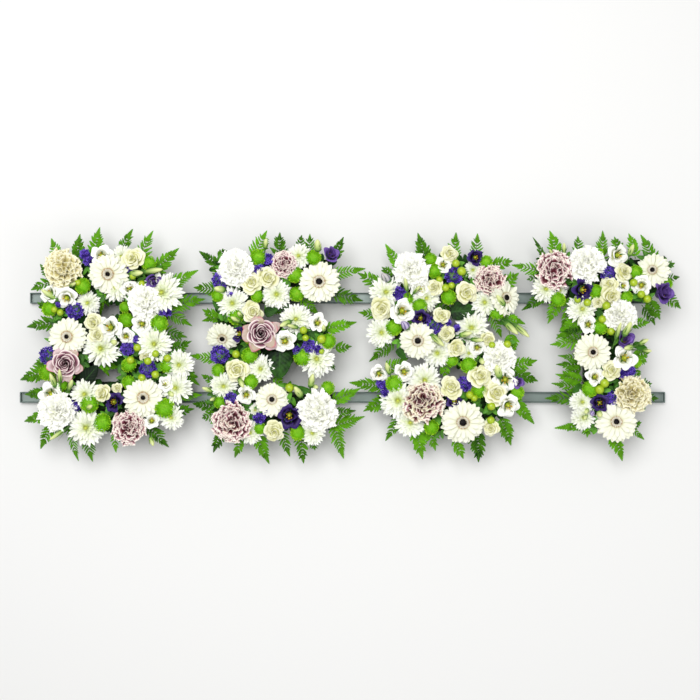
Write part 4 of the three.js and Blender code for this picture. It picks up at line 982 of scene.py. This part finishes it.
# Buds: unopened lisianthus and rose buds, furled petals with a twist, in a fringed calyx on a
# thin stem. Given as root and tip, radius, tone from pale green 0 to violet 1, and the lift of
# those that lie over blooms.
BUDS = {
    "b": [(36, 121, 87, 127, 6, 0), (18, 119, 54, 121, 6.5, 0, 4), (45, 55, 53, 75, 5, 0),
          (-78, 96, -60, 104, 4, 0.1, 6), (-82, 66, -119, 93, 5.5, 0, 7), (-5, 3, 7, 3, 7, 0),
          (92, -80, 104, -88, 6, 0), (60, -152, 70, -174, 5, 0), (-93, -84, -104, -49, 5.5, 0, 8),
          (-87, -76, -85, -42, 4.5, 0, 15), (-79, -86, -65, -60, 5, 0, 8),
          (-70, -138, -106, -163, 4.5, 0.1, 5), (-48, -112, -32, -104, 5, 0.1, 7)],
    "e": [(68, 150, 67, 178, 7.5, 0), (-24, 156, -20, 180, 5, 0), (-84, 91, -109, 95, 7.5, 0),
          (30, 43, 3, 30, 6, 0.1, 7), (42, 26, 16, 32, 4.5, 0, 8), (76, 18, 78, 32, 5, 0),
          (-104, -84, -130, -74, 5, 0), (-104, -90, -116, -96, 4, 0), (-70, -52, -58, -74, 5.5, 0, 7),
          (46, -98, 28, -72, 7, 0.25, 5), (52, -84, 60, -50, 6.5, 0.2, 5), (56, -72, 68, -74, 5, 0),
          (-58, 34, -80, 46, 5, 0.3, 8), (-60, 44, -68, 54, 4, 0.3, 8)],
    "s": [(-66, 80, -72, 112, 4.5, 0, 10), (-62, 80, -46, 99, 3.5, 0, 10), (104, 58, 83, 83, 6, 0, 9),
          (-90, 102, -112, 120, 8, 0.6), (-60, 22, -78, 38, 8, 0.7, 8), (-38, 25, -5, -4, 6, 0, 11),
          (12, 13, 42, 19, 6, 0.1, 8), (32, 9, 62, 6, 5, 0, 8), (90, 46, 121, 16, 6.5, 0),
          (104, 44, 141, 11, 6, 0), (58, -22, 62, -34, 6, 0), (-94, -60, -104, -31, 5.5, 0.1, 9),
          (93, -68, 83, -35, 7.5, 0, 9)],
    "t": [(-62, 98, -76, 94, 4, 0.6), (-70, 98, -82, 108, 4, 0), (-74, 146, -77, 172, 4.5, 0, 4),
          (-90, 146, -102, 161, 3, 0, 4), (34, 142, 42, 170, 5.5, 0.2), (8, -4, 18, 37, 4.5, 0, 9),
          (20, 2, 36, 38, 6.5, 0, 10), (48, -3, 23, -8, 5.5, 0, 10), (46, -4, 68, 8, 5, 0, 2),
          (54, -10, 74, -12, 4, 0), (-24, -112, -29, -122, 5, 0.9), (-32, -108, -40, -118, 5, 0),
          (-33, -118, -42, -128, 4, 0), (-16, -112, -14, -124, 6, 0.1)],
}
BUD_ROOT_LEVEL = 66
BUD_TIP_LEVEL = 77


def furled(start, axis, part, radius, bulge, twist=0.0, around=11, along=11):
    """Closed spindles along part of each axis, (buds, 1, around, along, 3): bulge(v) gives the
    share of the radius at v, and five soft ridges twist round it."""
    forward = axis / np.linalg.norm(axis, axis=1, keepdims=True)
    side = np.cross(forward, [0, 0, 1.0])
    side /= np.linalg.norm(side, axis=1, keepdims=True)
    above = np.cross(side, forward)
    angle = np.linspace(0, 2 * np.pi, around)[::-1, None]
    v = np.linspace(0, 1, along)[None, :]
    r = (radius[:, None, None] * bulge(v) * (1 + 0.08 * np.cos(5 * angle + twist * v)))[..., None]
    share = part[0] + (part[1] - part[0]) * v[..., None]
    round_it = (np.cos(angle)[..., None] * side[:, None, None]
                - np.sin(angle)[..., None] * above[:, None, None])
    return (start[:, None, None] + axis[:, None, None] * share + r * round_it)[:, None]


bud_petal, s, shader = finish("bud_petal", 0.45, {"Sheen Weight": 0.1})
across, along, tone = s.petal()
pale = along.step(0.0, 0.9).blend((128, 170, 58), (216, 224, 152))
streak = (across + along * 0.25).wave(5).step(-0.2, 0.7)
tone.step(0.3, 0.8).blend(pale, streak.blend((190, 174, 212), (92, 66, 148))).feed(shader["Base Color"])
(streak * 0.6 + s.noise(700) * 0.4).bump(0.0002).feed(shader["Normal"])
for letter in LETTER_X:
    rng = np.random.default_rng(100 + ord(letter))
    x0, y0, x1, y1, radius, tone, lift = np.array([(*bud, 0)[:7] for bud in BUDS[letter]], float).T
    start = at(letter, x0, y0, BUD_ROOT_LEVEL + lift)
    axis = at(letter, x1, y1, BUD_TIP_LEVEL + lift + rng.uniform(0, 5, len(x0))) - start
    petals = furled(start, axis, (0.32, 1), radius,
                    lambda v: np.sqrt(np.clip(np.sin(np.pi * v ** 0.85), 0, 1)) * (1 - 0.35 * v), 4.0)
    husk = furled(start, axis, (0.26, 0.46), radius * 0.8,
                  lambda v: np.sqrt(np.clip(1 - (1 - v) ** 2, 0, 1)) * (1 - 0.5 * (v > 0.95)), along=6)
    slim = furled(start, axis, (-0.1, 0.38), 0 * radius + 1.1, lambda v: 1.0 + 0 * v, around=7, along=4)
    fringe = straps(whorl((len(x0), 5), rng), 1.5, 0, 0.5 * np.linalg.norm(axis, axis=1)[:, None], 1.8,
                    1.0, 0.4, 0.2, pointed, 3, 5)
    heading = axis[:, :2] / axis[:, 2:]
    patches = [(petals / 1000, tone[:, None], 0), (husk / 1000, 0.7, 1), (slim / 1000, 0.6, 1),
               (stand(fringe, start + 0.32 * axis, heading), 0.8, 1),
               (stalks(letter, start, 0 * heading, 1.2), 0.5, 1)]
    adopt(piece(f"{letter}_buds", patches, [bud_petal, stem_green]), "greenery", f"{letter}_greenery")


# Santini: green button chrysanthemums, tight domes of short spoon florets with a darker dimple.
# Given as x, y, radius.
SANTINI = {
    "b": [(62, 138, 14), (-50, 98, 15), (-108, 60, 14), (22, 42, 14), (20, 63, 10), (78, 35, 16),
          (28, -37, 14), (92, -38, 13), (28, -65, 13), (88, -110, 18), (-18, -135, 17), (-40, -103, 17),
          (-113, -48, 15), (-88, -68, 14)],
    "e": [(-34, 148, 15), (29, 118, 15), (31, 86, 14), (60, 147, 14), (-35, 82, 12), (-104, 82, 11),
          (-73, 46, 14), (86, 5, 14), (-49, -20, 15), (-104, -45, 12), (40, -23, 16), (-100, -100, 11),
          (-47, -65, 14), (84, -75, 13), (-32, -144, 11), (33, -152, 14)],
    "s": [(-28, 145, 12), (-20, 125, 13), (68, 140, 12), (86, 52, 13), (4, 80, 14), (-66, 77, 11),
          (-46, 66, 14), (-91, 28, 15), (9, -30, 11), (37, -36, 15), (56, -79, 14), (120, -83, 13),
          (-89, -68, 16), (-26, -142, 14)],
    "t": [(-86, 75, 14), (-20, 90, 13), (-15, 155, 9), (48, 123, 12), (100, 103, 11), (31, 80, 12),
          (-14, 28, 14), (49, -32, 9), (-31, -77, 15)],
}
SANTINI_FOOT = 70
SANTINI_FLORETS = 190

santini_green = petal_finish("santini_floret", (76, 140, 0), (172, 232, 24), (240, 254, 96),
                             (112, 184, 4), 0.65, veins=1)
for letter, readings in SANTINI.items():
    bunch = Bunch(letter, 110, readings, SANTINI_FOOT, 0.14)
    rng = bunch.rng
    azimuth, spread = golden(SANTINI_FLORETS)
    bow = np.arccos(1 - 1.05 * spread ** 2)
    size = (bunch.flowers, SANTINI_FLORETS)
    dimple = 0.14 * np.exp(-(bow / 0.3) ** 2)
    florets = straps(azimuth + rng.normal(0, 0.06, size), 0.8 * np.sin(bow),
                     0.18 + 0.44 * np.cos(bow) - dimple, 0.23 * rng.uniform(0.8, 1.1, size), 0.125,
                     1.4 - 0.75 * bow + rng.normal(0, 0.14, size), 0.5, 0.5, spoon, 3, 4)
    bunch.add(florets, rng.random(size) * 1.1)
    bunch.add(revolved([(0.06, -0.1), (0.3, 0), (0.72, 0.08), (0.79, 0.24), (0.68, 0.42), (0.42, 0.58),
                        (0.18, 0.6), (0, 0.52)]), 0.9)
    bunch.place("santini", "greenery", [santini_green], thickness=1.5)


# Statice: heads of small papery violet trumpets with five-lobed rims, crowded on stiff stalks.
# Given as x, y, and the head's radius.
STATICE = {
    "b": [(-48, 153, 11), (-41, 142, 11), (28, 130, 9), (-93, 68, 7), (-65, 57, 17), (93, 55, 9),
          (83, 52, 7), (40, 8, 8), (25, -8, 14), (60, -43, 17), (-66, -107, 12), (-110, -20, 18)],
    "e": [(-17, 145, 12), (-32, 128, 12), (-99, 109, 16), (-82, 85, 7), (52, -4, 14), (68, -10, 10),
          (33, -12, 10), (-100, -18, 18), (-81, -94, 14), (-18, -115, 9), (-32, -127, 12)],
    "s": [(12, 117, 17), (-82, 86, 14), (-22, 31, 17), (3, 36, 7), (18, 28, 8), (30, -68, 15),
          (-112, -68, 10), (-105, -82, 10)],
    "t": [(0, 120, 15), (26, -52, 10), (38, -46, 11), (8, -92, 14)],
}
STATICE_FOOT = 69
TRUMPET_RADIUS = 2.5

# The trumpets run to near black violet at the root, deep in their throats: painted shade between the crowded
# trumpets.
statice_violet = petal_finish("statice_trumpet", (10, 0, 52), (62, 32, 160), (138, 108, 228),
                              (36, 12, 112), 0.75, veins=3)
angle = np.linspace(0, 2 * np.pi, 11)[::-1, None]
flare = TRUMPET_RADIUS * np.array([0.12, 0.35, 1.0]) * (1 + np.array([0, 0.05, 0.2]) * np.cos(5 * angle))
rise = np.array([-3.4, -0.8, 0.6]) + np.array([0, 0, 0.7]) * np.cos(5 * angle)
trumpet = np.stack([flare * np.cos(angle), flare * np.sin(angle), rise], axis=-1)
for letter, readings in STATICE.items():
    bunch = Bunch(letter, 120, readings, STATICE_FOOT, 0.1)
    rng = bunch.rng
    for spot, reach in zip(bunch.centre, bunch.radius[:, 0]):
        count = int((reach / TRUMPET_RADIUS) ** 2 * 1.3) + 3
        turn, bow = golden(count, 0.4)
        towards = bow[:, None] * np.column_stack([np.cos(turn), np.sin(turn)])
        level = 9 - 5 * bow ** 2 + rng.uniform(-2, 2, count)
        head = spot + np.column_stack([(reach - TRUMPET_RADIUS) * towards, level])
        tilt = 0.75 * towards + rng.normal(0, 0.45, (count, 2))
        trumpets = trumpet * rng.uniform(0.85, 1.15, (count, 1, 1, 1, 1))
        bunch.patches.append((stand(trumpets, head, tilt), rng.random((count, 1)), 0))
    bunch.add(revolved([(0.1, -0.25), (0.45, 0.05), (0.7, 0.2), (0.5, 0.4), (0, 0.5)], 9), 0.2, -1)
    bunch.place("statice", "violet_petals", [statice_violet], thickness=1.6)


# Hypericum: firm, glossy yellow-green berries, each in five small sepals with a pair of soft
# green leaves below. Given as x, y, radius.
BERRIES = {
    "b": [(34, 115, 6), (50, 103, 6), (-60, 103, 6), (-99, 60, 6), (-88, 52, 6), (43, -6, 7),
          (75, -17, 6.5), (94, -26, 7), (58, -30, 7), (30, -27, 7), (50, -57, 7), (74, -54, 7)],
    "e": [(-51, 3, 6), (43, 23, 7), (47, 11, 6), (74, 8, 8), (-71, -16, 7), (73, -12, 5), (18, -71, 8)],
    "s": [(15, 137, 7), (23, 122, 8), (-13, 111, 6), (10, 100, 6), (-4, 96, 7), (77, -1, 6), (103, 0, 7),
          (37, -88, 7), (47, -92, 6), (76, -106, 7.5), (75, -131, 7)],
    "t": [(-36, 71, 7), (-52, 74, 6), (-4, 66, 7.5), (-12, 43, 7), (4, 22, 7), (63, 115, 5), (43, 105, 7),
          (54, 85, 7), (67, 77, 7), (-7, -67, 8), (-13, -78, 8)],
}
BERRY_FOOT = 70

berry_skin, s, shader = finish("berry_skin", 0.32, {"Coat Weight": 0.12, "Coat Roughness": 0.15})
along = s.petal()[1]
skin = s.noise(300, 2).blend((136, 176, 6), (190, 206, 40))
berry = along.step(0.1, 0.7).blend((120, 160, 30), skin)
along.step(0.86, 0.97).blend(berry, (132, 150, 44)).feed(shader["Base Color"])
s.noise(900).bump(0.0001).feed(shader["Normal"])
sepal_green = leaf_finish("sepal", (56, 124, 30), (110, 176, 52), (140, 190, 80), 0.45, 4)
for letter, readings in BERRIES.items():
    bunch = Bunch(letter, 130, readings, BERRY_FOOT, 0.15)
    rng = bunch.rng
    fives, pairs = (bunch.flowers, 5), (bunch.flowers, 2)
    sepals = straps(whorl(fives, rng), 0.2, 0.05, 1.25, 0.85, 0.15, 0.5, 0.2, broad, 5, 6)
    leaves = straps(whorl(pairs, rng, 0, 0.4), 0.2, -0.3, 2.3, 1.1, 0.1, -0.3, 0.15, broad, 5, 7)
    bunch.add(revolved([(0, 0), (0.5, 0.12), (0.86, 0.5), (1, 1.0), (0.9, 1.45), (0.6, 1.78), (0.28, 1.92),
                        (0.1, 1.9), (0, 2.02)]), 0.5)
    bunch.add(sepals, rng.random(fives), 1)
    bunch.add(leaves, rng.random(pairs) * 0.8, 1)
    bunch.place("berries", "greenery", [berry_skin, sepal_green], thickness=1.3)
